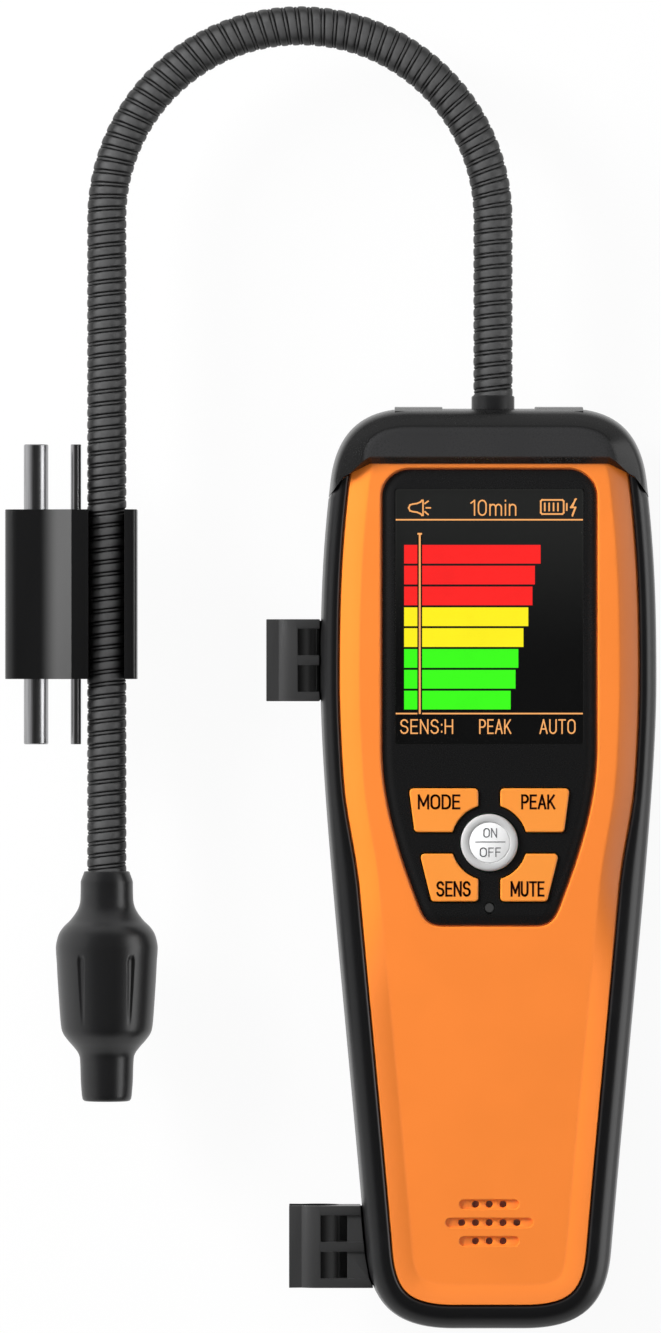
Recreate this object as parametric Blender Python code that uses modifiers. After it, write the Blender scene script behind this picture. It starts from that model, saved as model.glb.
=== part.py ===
"""A hand-held refrigerant leak detector with a gooseneck probe, in metres.

It lies on its back, with its screen towards +Z. The origin is the middle of the flat back, and +Y points to
the end that the neck leaves.
"""

import math

import bmesh
import bpy
from mathutils import Matrix, Vector
from mathutils.geometry import interpolate_bezier

# Clearances
SEAT_GAP = 0.0003  # between pieces that rest on or in each other
RUN_GAP = 0.0003  # round a piece that slides
OVERCUT = 0.0020  # how far a cutter runs past the wall it opens
BITE = 0.0006  # how far joined shapes run into each other

# Housing outline, seen from the front
HOUSING_LENGTH = 0.2098
TOP_FLAT = 0.0362  # straight stretch across the top end
CROWN_WIDTH = 0.0721  # width where the top corners end
CROWN_DROP = 0.0164  # height of the top corners
CROWN_LEAN = 0.12  # how far the side leans out there
SHOULDER_WIDTH = 0.0767  # widest place
SHOULDER_DROP = 0.0619  # from the top end down to it
GRIP_WIDTH = 0.0560  # width where the lower corners start
GRIP_RISE = 0.0174  # height of the lower corners
GRIP_LEAN = 0.085
END_FLAT = 0.0160  # straight stretch across the lower end
CORNER_FULLNESS = 0.63
SIDE_FULLNESS = 0.36

# Housing section, from the back upwards
BACK_WALL = 0.0022
BACK_EDGE = 0.0085  # rounding of the back edge beside the screen
GRIP_BACK_EDGE = 0.0115  # and along the grip
SPLIT_Z = 0.0120  # top of the rear shell's wall
SPLIT_INSET = 0.0007
SKIRT_INSET = 0.0027  # outer face of the front shell's skirt
SKIRT_WALL = 0.0018
FACE_Z = 0.0360  # the front shell's flat face
FACE_WALL = 0.0028
SHOULDER_STEP = 0.0042  # from the face down to the step the rim lies on
FACET_WIDTH = 0.0044
FACET_DROP = 0.0018  # the edge lies lower than the face beside the screen
DISH_RISE = 0.0009  # and higher along the grip
RIM_WIDTH = 0.0044
GRIP_RIM_WIDTH = 0.0061
RIM_PROUD = 0.0003  # crest of the soft rim over the shell's edge
RIM_CHANGE_DROP = (0.0849, 0.1099)  # from the top end, where the rim starts and stops widening
FACET_CHANGE_DROP = (0.1019, 0.1389)  # and where the facet turns over

# Hood
HOOD_Z = 0.0382
HOOD_RIM = 0.0013  # bright outer edge
HOOD_RIM_Z = 0.0346
HOOD_BEVEL = 0.0034
HOOD_SIDE_BEVEL = 0.0064
HOOD_LIP = 0.0016  # slope of its lower edge
HOOD_EDGE = ((0.00895, 0.0128), (0.00305, 0.0157), (-0.00115, 0.0212), (-0.00895, 0.0314))  # inset, drop
PAD_LENGTH = 0.0108
PAD_REACH = 0.0004
PAD_DEPTH = 0.0090
PAD_OFFSET = 0.0160

# Fascia, screen and lamp
FASCIA_HALF = 0.0243
FASCIA_DROP = 0.0141  # from the housing's top end
FASCIA_CORNER = 0.0048
FASCIA_STRAIGHT_DROP = 0.0774  # where its sides start to close in
FASCIA_FOOT = 0.0159  # half width at the foot corners
FASCIA_FOOT_DROP = 0.1132
FASCIA_END_DROP = 0.1176
FASCIA_FOOT_LEAN = 0.38
FASCIA_THICKNESS = 0.0010
FASCIA_RECESS = 0.0004
FASCIA_LEDGE = 0.0012
SCREEN_WIDTH = 0.0426
SCREEN_HEIGHT = 0.0579
SCREEN_DROP = 0.0475
SCREEN_SINK = 0.0002
MODULE_WIDTH = 0.0495
MODULE_HEIGHT = 0.0680
MODULE_THICKNESS = 0.0026
GLASS_MARGIN = 0.0004
LED_DROP = 0.1136
LED_RADIUS = 0.0010
LED_FLANGE = 0.0018

# Keys
POWER_DROP = 0.0988
POWER_RADIUS = 0.0065
POWER_PROUD = 0.0011
KEY_RING = 0.00865  # inner arc of the four keys, about the power key
KEY_INNER = 0.0025
KEY_ROWS = (  # top and bottom, from the power key's middle, and the outer x at each
    (0.0123, 0.00236, 0.01825, 0.01697),
    (-0.00253, -0.01338, 0.0158, 0.0131),
)
KEY_CORNER = 0.0009
KEY_PROUD = 0.0006
KEY_FLANGE = 0.0008
KEY_FLANGE_THICKNESS = 0.0007
KEY_TRAVEL = 0.0006
KEY_STEM = 0.0013
KEY_EDGE = 0.0002
SWITCH_SIDE = 0.0045
SWITCH_BODY = 0.0015
SWITCH_BUTTON = 0.0010
SWITCH_BUTTON_HEIGHT = 0.0004

# Sounder slots and holes
SOUNDER_RISE = 0.0247  # from the lower end
SLOT_PITCH = 0.00418
SLOT_HEIGHT = 0.0021
SLOT_DEPTH = 0.0007
SLOT_MARGIN = 0.0031  # from the outer hole to the slot's end
HOLE_PITCH = 0.00313
HOLE_RADIUS = 0.0008
HOLES_IN_SLOT = (3, 5, 3)
SPEAKER_RADIUS = 0.0100
SPEAKER_THICKNESS = 0.0040

# Screws and posts
UPPER_POST_DROP = 0.0209
UPPER_POST_INSET = 0.00778  # from the housing's side
LOWER_POST_RISE = 0.0199
LOWER_POST_INSET = 0.00972
POST_RADIUS = 0.0032
SCREW_RADIUS = 0.0013
SCREW_HEAD = 0.0026
SCREW_HEAD_HEIGHT = 0.0018
SCREW_LENGTH = 0.0190
SCREW_DEPTH = 0.0010  # its head lies this far inside the back face
BOSS_WALL = 0.0016

# Inner pieces
BOARD_WIDTH = 0.0440
BOARD_DROP = 0.0169
BOARD_END_DROP = 0.1189
BOARD_THICKNESS = 0.0016
BOARD_POST_X = 0.0185
BOARD_POST_DROP = 0.1161
CELL_RADIUS = 0.0092
CELL_LENGTH = 0.0650
CELL_RISE = 0.0649  # from the lower end to its middle
CELL_CAP = 0.0030
CRADLE_OFFSET = 0.0200
CRADLE_THICKNESS = 0.0020
CRADLE_HEIGHT = 0.0070
PUMP_RADIUS = 0.0075
PUMP_LENGTH = 0.0260
PUMP_DROP = 0.0549
PUMP_HEAD = (0.0180, 0.0100, 0.0160)
AIR_TUBE_RADIUS = 0.0018
PORT_WIDTH = 0.0090
PORT_HEIGHT = 0.0034
PORT_DEPTH = 0.0078
PORT_Z = 0.0066
PORT_RECESS = 0.0012
PORT_SLOT = 0.0012

# Neck
NECK_Z = 0.0200
NECK_X = 0.00105
NECK_RADIUS = 0.0045
NECK_CORE = 0.0039
LOOP_RADIUS = 0.0441
LOOP_RISE = 0.0434  # from the housing to where the two straight legs end and the loop starts
LEG_LENGTH = 0.1490  # from there down to the cap
NECK_PITCH = 0.00278
BAND_SHARE = 0.72  # of the pitch that the wide band takes
NECK_SIDES = 8
SPIGOT_RADIUS = 0.0032
SPIGOT_LENGTH = 0.0070
FERRULE_RADIUS = 0.0049
FERRULE_PROUD = 0.0030
FERRULE_FLANGE = 0.0070
FERRULE_FLANGE_THICKNESS = 0.0018

# Probe head
CAP_LENGTH = 0.0525
CAP_COLLAR = 0.0060
CAP_COLLAR_EDGE = 0.0012
CAP_NECK_LENGTH = 0.0073
BULB_RADIUS = 0.0116
BULB_TOP = 0.0164  # from the cap's top to the widest place
BULB_END = 0.0350
BULB_END_RADIUS = 0.0106
NOZZLE_TOP = 0.0418
NOZZLE_RADIUS = 0.0062
NOZZLE_END_RADIUS = 0.0056
CAP_WALL = 0.0018
INLET_RADIUS = 0.0018
FLUTES = 6
FLUTE_RADIUS = 0.0015
FLUTE_DEPTH = 0.0004
FLUTE_TOP = 0.0196
FLUTE_LENGTH = 0.0150
FITTING_RADIUS = 0.0047
FITTING_LENGTH = 0.0140
SENSOR_RADIUS = 0.0040
SENSOR_LENGTH = 0.0100
FILTER_THICKNESS = 0.0022

# Probe clip and its rods
CLIP_DROP = 0.08575  # from the loop's start to the block's middle
CLIP_LENGTH = 0.0387
CLIP_LEFT = 0.02315  # from the neck's left leg to the block's left end
CLIP_ROUND = 0.0029  # its rounded left edges
CLIP_LOW_HALF_HEIGHT = 0.0050  # about the large rod
CLIP_RAMP = (0.01525, 0.00795)  # from the neck, where the face slopes up to the full height
CLIP_REACH = 0.00695  # on the other side of it
CLIP_HALF_HEIGHT = 0.0065
CLIP_EDGE = 0.0012
CLIP_MOUTH = 0.0082
ROD_LENGTH = 0.0685
LARGE_ROD_OFFSET = 0.01615  # from the neck
LARGE_ROD_RADIUS = 0.0028
SMALL_ROD_OFFSET = 0.00705
SMALL_ROD_RADIUS = 0.0012

# Hose clips on the left side
HOSE_CLIP_LENGTH = 0.0187
UPPER_CLIP_DROP = 0.0574
UPPER_CLIP_STANDOFF = 0.0057  # from the housing's side to the bore's middle
LOWER_CLIP_RISE = 0.0187
LOWER_CLIP_STANDOFF = 0.01069
HOSE_CLIP_BORE = 0.00475
HOSE_CLIP_WALL = 0.0014
HOSE_CLIP_MOUTH = 0.0074
HOSE_CLIP_LIP = 0.0016  # how far the mouth flares
HOSE_CLIP_REACH = 0.0067  # from the bore's middle to the tips
HOSE_CLIP_TIP = 0.0007
WINDOW_HEIGHT = 0.0061
WINDOW_WIDTH = 0.0061
WINDOW_DEPTH = 0.0066
WINDOW_PITCH = 0.0083
WINDOW_START = 0.0005
RIB_HEIGHT = 0.0006  # of the three ribs over the plate beyond the windows
BRACKET_HEIGHT = 0.0070
TONGUE_HEIGHT = 0.0024
TONGUE_DROP = 0.0020
TONGUE_DEPTH = 0.0016
TONGUE_WIDTH = 0.0181

TOP = HOUSING_LENGTH / 2
END = -HOUSING_LENGTH / 2
SKIRT_Z = SPLIT_Z + SEAT_GAP
FACE_BACK = FACE_Z - FACE_WALL
STEP_Z = FACE_Z - SHOULDER_STEP
FASCIA_Z = FACE_Z - FASCIA_RECESS  # its front
FASCIA_BACK = FASCIA_Z - FASCIA_THICKNESS
MODULE_TOP = FACE_BACK - SEAT_GAP
BOARD_Z = MODULE_TOP - MODULE_THICKNESS - SEAT_GAP  # its front
RIM_CHANGE = tuple(TOP - drop for drop in RIM_CHANGE_DROP)
FACET_CHANGE = tuple(TOP - drop for drop in FACET_CHANGE_DROP)
FASCIA_TOP = TOP - FASCIA_DROP
FASCIA_END = TOP - FASCIA_END_DROP
SCREEN_Y = TOP - SCREEN_DROP
LED_Y = TOP - LED_DROP
POWER_Y = TOP - POWER_DROP
SOUNDER_Y = END + SOUNDER_RISE
BOARD_TOP = TOP - BOARD_DROP
BOARD_END = TOP - BOARD_END_DROP
CELL_Y = END + CELL_RISE
PUMP_Y = TOP - PUMP_DROP
NECK_START = TOP + FERRULE_PROUD + SEAT_GAP
LOOP_Y = TOP + LOOP_RISE
HEAD_X = NECK_X - 2 * LOOP_RADIUS
HEAD_Y = LOOP_Y - LEG_LENGTH  # top of the cap
CLIP_Y = LOOP_Y - CLIP_DROP


def collection(name):
    made = bpy.data.collections.new(name)
    bpy.context.scene.collection.children.link(made)
    return made


def finish(name, colour, roughness, metallic=0.0):
    """A plain Principled material."""
    material = bpy.data.materials.new(name)
    material.use_nodes = True
    shader = material.node_tree.nodes["Principled BSDF"]
    shader.inputs["Base Color"].default_value = (*colour, 1.0)
    shader.inputs["Roughness"].default_value = roughness
    shader.inputs["Metallic"].default_value = metallic
    return material


def add(name, mesh, material=None):
    """An object of this mesh: a part if it has a material, and otherwise a cutter."""
    made = bpy.data.objects.new(name, mesh)
    if material is None:
        CUTTERS.objects.link(made)
        made.hide_render = True
        made.display_type = "WIRE"
    else:
        PARTS.objects.link(made)
        mesh.materials.append(material)
        mesh.shade_smooth()
        mesh.set_sharp_from_angle(angle=math.radians(32))
    return made


def mesh_of(bm, name):
    bmesh.ops.recalc_face_normals(bm, faces=bm.faces)
    mesh = bpy.data.meshes.new(name)
    bm.to_mesh(mesh)
    bm.free()
    return mesh


def loft(name, rings, material=None, closed=False):
    """Skins rings of points. The end rings are capped, or joined to each other when closed."""
    bm = bmesh.new()
    rows = [[bm.verts.new(point) for point in ring] for ring in rings]
    pairs = list(zip(rows, rows[1:]))
    if closed:
        pairs.append((rows[-1], rows[0]))
    else:
        bm.faces.new(rows[0])
        bm.faces.new(rows[-1])
    for low, high in pairs:
        for i in range(len(low)):
            j = (i + 1) % len(low)
            bm.faces.new((low[i], low[j], high[j], high[i]))
    return add(name, mesh_of(bm, name), material)


def plate(name, outline, low, high, material=None, axis="Z"):
    """A flat outline made solid along Z, or along Y with its points read as x and z."""
    curve = bpy.data.curves.new(name, "CURVE")
    curve.dimensions = "2D"
    curve.fill_mode = "BOTH"
    curve.extrude = (high - low) / 2
    spline = curve.splines.new("POLY")
    spline.points.add(len(outline) - 1)
    for point, (u, v) in zip(spline.points, outline):
        point.co = (u, v, 0, 1)
    spline.use_cyclic_u = True
    guide = bpy.data.objects.new(name + "_outline", curve)
    bpy.context.scene.collection.objects.link(guide)
    bpy.context.view_layer.update()
    graph = bpy.context.evaluated_depsgraph_get()
    mesh = bpy.data.meshes.new_from_object(guide.evaluated_get(graph))
    bpy.data.objects.remove(guide)
    turn = Matrix.Rotation(math.pi / 2, 4, "X") if axis == "Y" else Matrix()
    middle = (low + high) / 2
    shift = Matrix.Translation((0, middle, 0) if axis == "Y" else (0, 0, middle))
    mesh.transform(shift @ turn)
    bm = bmesh.new()
    bm.from_mesh(mesh)
    bmesh.ops.remove_doubles(bm, verts=bm.verts, dist=1e-6)
    return add(name, mesh_of(bm, name), material)


def rod(name, radius, start, end, material=None, sides=16, end_radius=None):
    """A cylinder or cone between two points."""
    start, end = Vector(start), Vector(end)
    bm = bmesh.new()
    bmesh.ops.create_cone(
        bm,
        cap_ends=True,
        segments=sides,
        radius1=radius,
        radius2=radius if end_radius is None else end_radius,
        depth=(end - start).length,
    )
    turn = (end - start).to_track_quat("Z", "Y").to_matrix().to_4x4()
    bmesh.ops.transform(bm, verts=bm.verts, matrix=Matrix.Translation((start + end) / 2) @ turn)
    return add(name, mesh_of(bm, name), material)


def box(name, low, high, material=None):
    low, high = Vector(low), Vector(high)
    bm = bmesh.new()
    bmesh.ops.create_cube(bm, size=1)
    size = Matrix.Diagonal((*(high - low), 1))
    bmesh.ops.transform(bm, verts=bm.verts, matrix=Matrix.Translation((low + high) / 2) @ size)
    return add(name, mesh_of(bm, name), material)


def turned(name, profile, place, direction, material, steps=24, closed=False):
    """A profile of (radius, distance along the axis), turned by a Screw modifier, axis along direction."""
    mesh = bpy.data.meshes.new(name)
    count = len(profile)
    edges = [(i, i + 1) for i in range(count - 1)]
    if closed:
        edges.append((count - 1, 0))
    mesh.from_pydata([(r, 0, z) for r, z in profile], edges, [])
    made = add(name, mesh, material)
    screw = made.modifiers.new("turn", "SCREW")
    screw.steps = screw.render_steps = steps
    screw.use_merge_vertices = True
    screw.merge_threshold = 0.00001
    screw.use_smooth_shade = True
    made.location = place
    made.rotation_euler = Vector(direction).to_track_quat("Z", "Y").to_euler()
    return made


def boolean(target, operation, *others):
    for other in others:
        change = target.modifiers.new(operation.lower() + "_" + other.name, "BOOLEAN")
        change.operation = operation
        change.object = other
        change.solver = "EXACT"


def cut(target, *cutters):
    boolean(target, "DIFFERENCE", *cutters)


def join(target, *pieces):
    boolean(target, "UNION", *pieces)


def soften(target, width, segments=1, angle=40):
    bevel = target.modifiers.new("edges", "BEVEL")
    bevel.width = width
    bevel.segments = segments
    bevel.limit_method = "ANGLE"
    bevel.angle_limit = math.radians(angle)


def origin_at(piece, point):
    """Moves a piece's origin without moving the piece."""
    piece.data.transform(Matrix.Translation(-Vector(point)))
    piece.location = point


def ease(value, start, end):
    """0 at start and 1 at end, smoothly."""
    share = min(max((value - start) / (end - start), 0.0), 1.0)
    return share * share * (3 - 2 * share)


def mix(low, high, share):
    return low + (high - low) * share


def at(value, y):
    """A size that is one number, or a function of the height on the housing."""
    return value(y) if callable(value) else value


def run(knots):
    """Points along Bezier stretches, given as (start, handle, handle, end, steps), without the last one."""
    points = []
    for start, out, back, end, steps in knots:
        flat = [Vector((*p, 0)) for p in (start, out, back, end)]
        points += [p.xy for p in interpolate_bezier(*flat, steps + 1)[:-1]]
    return points


def mirrored(half):
    """A closed outline from its right half, which runs from the top middle to the foot middle."""
    return half + [Vector((-p.x, p.y)) for p in reversed(half)]


def offset(outline, distance):
    """The outline moved outwards; the distance may be a function of y."""
    moved = []
    for i, point in enumerate(outline):
        before, after = outline[i - 1], outline[(i + 1) % len(outline)]
        first, second = (point - before).normalized(), (after - point).normalized()
        along = (first + second).normalized()
        across = Vector((-along.y, along.x))
        stretch = 1 / max(along.dot(first), 0.5)
        moved.append(point + across * at(distance, point.y) * stretch)
    return moved


def housing_outline():
    flat = Vector((TOP_FLAT / 2, TOP))
    crown = Vector((CROWN_WIDTH / 2, TOP - CROWN_DROP))
    shoulder = Vector((SHOULDER_WIDTH / 2, TOP - SHOULDER_DROP))
    grip = Vector((GRIP_WIDTH / 2, END + GRIP_RISE))
    foot = Vector((END_FLAT / 2, END))
    out = Vector((-CROWN_LEAN, 1))
    lean = Vector((GRIP_LEAN, 1))
    upper = (crown.y - shoulder.y) * SIDE_FULLNESS
    half = run(
        (
            (
                flat,
                flat + Vector(((crown.x - flat.x) * CORNER_FULLNESS, 0)),
                crown + out * CROWN_DROP * CORNER_FULLNESS,
                crown,
                6,
            ),
            (crown, crown - out * upper, shoulder + Vector((0, upper)), shoulder, 3),
            (
                shoulder,
                shoulder - Vector((0, (shoulder.y - grip.y) * SIDE_FULLNESS * SIDE_FULLNESS * 1.5)),
                grip + lean * (shoulder.y - grip.y) * (1 - SIDE_FULLNESS) * SIDE_FULLNESS * 2,
                grip,
                6,
            ),
            (
                grip,
                grip - lean * GRIP_RISE * CORNER_FULLNESS * 1.15,
                foot + Vector(((grip.x - foot.x) * CORNER_FULLNESS, 0)),
                foot,
                6,
            ),
        )
    )
    return mirrored(half + [foot])


def housing_ring(inset, height):
    """The housing outline, moved inwards and set at a height."""
    return [(p.x, p.y, at(height, p.y)) for p in offset(OUTLINE, lambda y: -at(inset, y))]


def rim_inset(y):
    return mix(RIM_WIDTH, GRIP_RIM_WIDTH, ease(y, *RIM_CHANGE))


def edge_z(y):
    """Height of the front shell's outer edge, which falls below its face beside the screen."""
    return FACE_Z - FACET_DROP + (FACET_DROP + DISH_RISE) * ease(y, *FACET_CHANGE)


def back_edge(y):
    """Rounding of the back's edge, kept inside the housing's top corners."""
    corner = (CROWN_WIDTH - TOP_FLAT) / 4
    return mix(min(BACK_EDGE, corner), GRIP_BACK_EDGE, ease(y, *RIM_CHANGE))


def fascia_outline():
    side = Vector((FASCIA_HALF, FASCIA_TOP - FASCIA_CORNER))
    corner = Vector((FASCIA_HALF - FASCIA_CORNER, FASCIA_TOP))
    bend = Vector((FASCIA_HALF, TOP - FASCIA_STRAIGHT_DROP))
    foot = Vector((FASCIA_FOOT, TOP - FASCIA_FOOT_DROP))
    end = Vector((FASCIA_FOOT - (foot.y - FASCIA_END) * 1.2, FASCIA_END))
    lean = Vector((FASCIA_FOOT_LEAN, 1))
    pull = FASCIA_CORNER * 0.55
    half = run(
        (
            (corner, corner + Vector((pull, 0)), side + Vector((0, pull)), side, 4),
            (side, side, bend, bend, 1),
            (
                bend,
                bend - Vector((0, (bend.y - foot.y) * 0.38)),
                foot + lean * (bend.y - foot.y) * 0.24,
                foot,
                6,
            ),
            (
                foot,
                foot - lean * (foot.y - end.y) * 0.6,
                end + Vector(((foot.x - end.x) * 0.6, 0)),
                end,
                4,
            ),
        )
    )
    return mirrored(half + [end])


def rounded(corners, steps=2):
    """A closed outline from (x, y, radius) corners; radius 0 keeps the point."""
    points = []
    count = len(corners)
    for i, (x, y, radius) in enumerate(corners):
        here = Vector((x, y))
        if radius == 0:
            points.append(here)
            continue
        before = (Vector(corners[i - 1][:2]) - here).normalized()
        after = (Vector(corners[(i + 1) % count][:2]) - here).normalized()
        half_angle = before.angle(after) / 2
        reach = radius / math.tan(half_angle)
        middle = here + (before + after).normalized() * radius / math.sin(half_angle)
        start = here + before * reach - middle
        sweep = (here + after * reach - middle).angle_signed(start)
        points += [
            middle + Matrix.Rotation(sweep * k / steps, 2) @ start for k in range(steps + 1)
        ]
    return points


def rectangle(width, height, radius=0.0, y=0.0, x=0.0):
    return rounded(
        [
            (x + sx * width / 2, y + sy * height / 2, radius)
            for sx, sy in ((1, 1), (1, -1), (-1, -1), (-1, 1))
        ]
    )


def key_row(row):
    """Top, bottom, and the outer x at the top and at the bottom of a row of keys."""
    top, bottom, outer_top, outer_bottom = KEY_ROWS[row]
    return POWER_Y + top, POWER_Y + bottom, outer_top, outer_bottom


def key_outline(side, row, grow=0.0):
    """A key's outline: three straight sides and an arc about the power key. Side is -1 on the left."""
    top, bottom, outer_top, outer_bottom = key_row(row)
    slant = Vector((outer_top - outer_bottom, top - bottom))
    spread = grow * slant.length / slant.y
    slope = slant.x / slant.y
    radius = KEY_RING - grow
    inner = KEY_INNER - grow
    high, low = top + grow, bottom - grow
    outer_high = outer_top + slope * grow + spread
    outer_low = outer_bottom - slope * grow + spread
    near = high if row else low  # the edge that meets the arc
    reach = math.sqrt(radius**2 - (near - POWER_Y) ** 2)
    rise = math.sqrt(radius**2 - inner**2)
    first = math.atan2(near - POWER_Y, reach)
    last = math.atan2(-rise if row else rise, inner)
    steps = 5
    arc = [
        (
            radius * math.cos(mix(first, last, k / steps)),
            POWER_Y + radius * math.sin(mix(first, last, k / steps)),
            KEY_CORNER * 0.5 if k in (0, steps) else 0,
        )
        for k in range(steps + 1)
    ]
    outer = [(outer_high, high, KEY_CORNER), (outer_low, low, KEY_CORNER)]
    if row:
        outer.reverse()
    corners = [*outer, *arc, (inner, low if row else high, KEY_CORNER)]
    return rounded([(side * x, y, radius) for x, y, radius in corners])


def circle(radius, x=0.0, y=0.0, sides=32):
    return [
        Vector((x + radius * math.cos(math.tau * k / sides), y + radius * math.sin(math.tau * k / sides)))
        for k in range(sides)
    ]


def front_skin(name, grow=0.0, material=None):
    """The front shell's outer form. Grown, it is the room that the hood and the rim leave for it."""
    low = SKIRT_Z if material else SPLIT_Z - OVERCUT
    rings = [
        housing_ring(lambda y: rim_inset(y) + FACET_WIDTH - grow, FACE_Z + grow),
        housing_ring(lambda y: rim_inset(y) - grow, lambda y: edge_z(y) + grow),
        housing_ring(lambda y: rim_inset(y) - grow, STEP_Z + grow),
        housing_ring(SKIRT_INSET - grow, STEP_Z + grow),
        housing_ring(SKIRT_INSET - grow, low),
    ]
    if material:
        inner = SKIRT_INSET + SKIRT_WALL
        rings += [
            housing_ring(inner, low),
            housing_ring(inner, FACE_BACK - FACE_WALL),
            housing_ring(lambda y: rim_inset(y) + FACE_WALL, FACE_BACK),
        ]
    return loft(name, rings, material)


def hood_zone(name, grow=0.0):
    """The block that the hood is kept from; its lower edge drops at the sides and slopes at the front."""

    def ring(height, lift):
        right = [Vector((CROWN_WIDTH / 2 - inset, TOP - drop + lift - grow)) for inset, drop in HOOD_EDGE]
        far = Vector((right[-1].x, TOP + OVERCUT * 3))
        half = [far, *reversed(right)]
        return [(x, y, height) for x, y in half] + [(-x, y, height) for x, y in reversed(half)]

    rings = [
        ring(SPLIT_Z - OVERCUT, 0),
        ring(FACE_Z + SEAT_GAP, 0),
        ring(HOOD_Z, HOOD_LIP),
        ring(HOOD_Z + OVERCUT, HOOD_LIP),
    ]
    return loft(name, rings)


def side_x(y):
    """The x of the housing's right side at a height."""
    right = sorted((p.y, p.x) for p in OUTLINE if p.x > 0)
    for (low, first), (high, second) in zip(right, right[1:]):
        if low <= y <= high:
            return mix(first, second, (y - low) / (high - low))
    return SHOULDER_WIDTH / 2


def post_places():
    """Half the spacing, and the height, of the upper and the lower housing screws."""
    upper, lower = TOP - UPPER_POST_DROP, END + LOWER_POST_RISE
    return (side_x(upper) - UPPER_POST_INSET, upper), (side_x(lower) - LOWER_POST_INSET, lower)


def posts(name, radius, low, high, material=None, sides=10):
    """A like cylinder at each of the four housing screws."""
    return [
        rod(f"{name}_{k}", radius, (x * side, y, low), (x * side, y, high), material, sides)
        for k, (x, y, side) in enumerate((x, y, side) for x, y in post_places() for side in (-1, 1))
    ]


def front_shell():
    shell = front_skin("front_shell", material=SHELL)
    join(shell, *posts("front_post", POST_RADIUS, SKIRT_Z, FACE_BACK + BITE))
    y = TOP - BOARD_POST_DROP
    for x in (-BOARD_POST_X, BOARD_POST_X):
        foot, head = (x, y, BOARD_Z + SEAT_GAP), (x, y, FACE_BACK + BITE)
        join(shell, rod(f"board_post_{x:+.3f}", POST_RADIUS / 2, foot, head, sides=8))
    cut(
        shell,
        plate("fascia_pocket", offset(FASCIA, SEAT_GAP), FASCIA_BACK - SEAT_GAP, FACE_Z + OVERCUT),
        plate("fascia_window", offset(FASCIA, -FASCIA_LEDGE), FACE_BACK - OVERCUT, FACE_Z + OVERCUT),
        *posts("front_pilot", SCREW_RADIUS + SEAT_GAP, SKIRT_Z - OVERCUT, screw_tip() + SEAT_GAP),
        rod(
            "ferrule_hole",
            FERRULE_RADIUS + SEAT_GAP,
            (NECK_X, TOP - SKIRT_INSET - SKIRT_WALL - OVERCUT, NECK_Z),
            (NECK_X, TOP + OVERCUT, NECK_Z),
            sides=16,
        ),
    )
    for row, count in enumerate(HOLES_IN_SLOT):
        y = SOUNDER_Y + (1 - row) * SLOT_PITCH
        length = (count - 1) * HOLE_PITCH + 2 * SLOT_MARGIN + SLOT_HEIGHT / 2
        slot = rectangle(length, SLOT_HEIGHT, SLOT_HEIGHT * 0.499, y)
        cut(shell, plate(f"slot_{row}", slot, FACE_Z - SLOT_DEPTH, FACE_Z + OVERCUT))
        for k in range(count):
            x = (k - (count - 1) / 2) * HOLE_PITCH
            hole = rod(
                f"sound_hole_{row}_{k}",
                HOLE_RADIUS,
                (x, y, FACE_BACK - OVERCUT),
                (x, y, FACE_Z + OVERCUT),
                sides=8,
            )
            cut(shell, hole)
    return shell


def screw_tip():
    return SCREW_DEPTH + SCREW_HEAD_HEIGHT + SCREW_LENGTH


def rear_shell():
    """The back half: a tub with rounded edges, screw bosses and cradles for the cell."""
    outer, inner = [], []
    steps = 4
    lip = SKIRT_INSET + SKIRT_WALL
    for k in range(steps + 1):
        turn = math.pi / 2 * k / steps
        outer.append(
            housing_ring(
                lambda y, s=math.sin(turn): mix(back_edge(y), SPLIT_INSET, s),
                SPLIT_Z * (1 - math.cos(turn)),
            )
        )
    for k in range(2, steps + 1):
        turn = math.pi / 2 * k / steps
        inner.append(
            housing_ring(
                lambda y, s=math.cos(turn): mix(lip, back_edge(y) + BACK_WALL, 1 - s),
                BACK_WALL + (SPLIT_Z - BACK_WALL) * (1 - math.sin(turn)),
            )
        )
    rings = [*outer, housing_ring(lip, SPLIT_Z), housing_ring(lip, SPLIT_Z - BACK_WALL), *inner]
    shell = loft("rear_shell", rings, SHELL_BACK)
    boss = SCREW_RADIUS + SEAT_GAP + BOSS_WALL
    join(shell, *posts("boss", boss, BACK_WALL - BITE, SPLIT_Z))
    cell_z = BACK_WALL + SEAT_GAP + CELL_RADIUS
    for k, y in enumerate((CELL_Y - CRADLE_OFFSET, CELL_Y + CRADLE_OFFSET)):
        half = CELL_RADIUS + CRADLE_THICKNESS
        join(
            shell,
            box(
                f"cradle_{k}",
                (-half, y - CRADLE_THICKNESS / 2, BACK_WALL - BITE),
                (half, y + CRADLE_THICKNESS / 2, BACK_WALL + CRADLE_HEIGHT),
            ),
        )
    bed = rod(
        "cell_bed",
        CELL_RADIUS + SEAT_GAP,
        (0, CELL_Y - CELL_LENGTH / 2 - SEAT_GAP, cell_z),
        (0, CELL_Y + CELL_LENGTH / 2 + SEAT_GAP, cell_z),
        sides=24,
    )
    port = rectangle(PORT_WIDTH + 2 * SEAT_GAP, PORT_HEIGHT + 2 * SEAT_GAP, PORT_HEIGHT * 0.3, PORT_Z)
    cut(
        shell,
        *posts("screw_way", SCREW_RADIUS + SEAT_GAP, -OVERCUT, SPLIT_Z + OVERCUT),
        *posts("screw_seat", SCREW_HEAD + SEAT_GAP, -OVERCUT, SCREW_DEPTH + SCREW_HEAD_HEIGHT, sides=12),
        bed,
        plate("port_way", port, END - OVERCUT, END + back_edge(END) + BACK_WALL * 2, axis="Y"),
    )
    return shell


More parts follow.
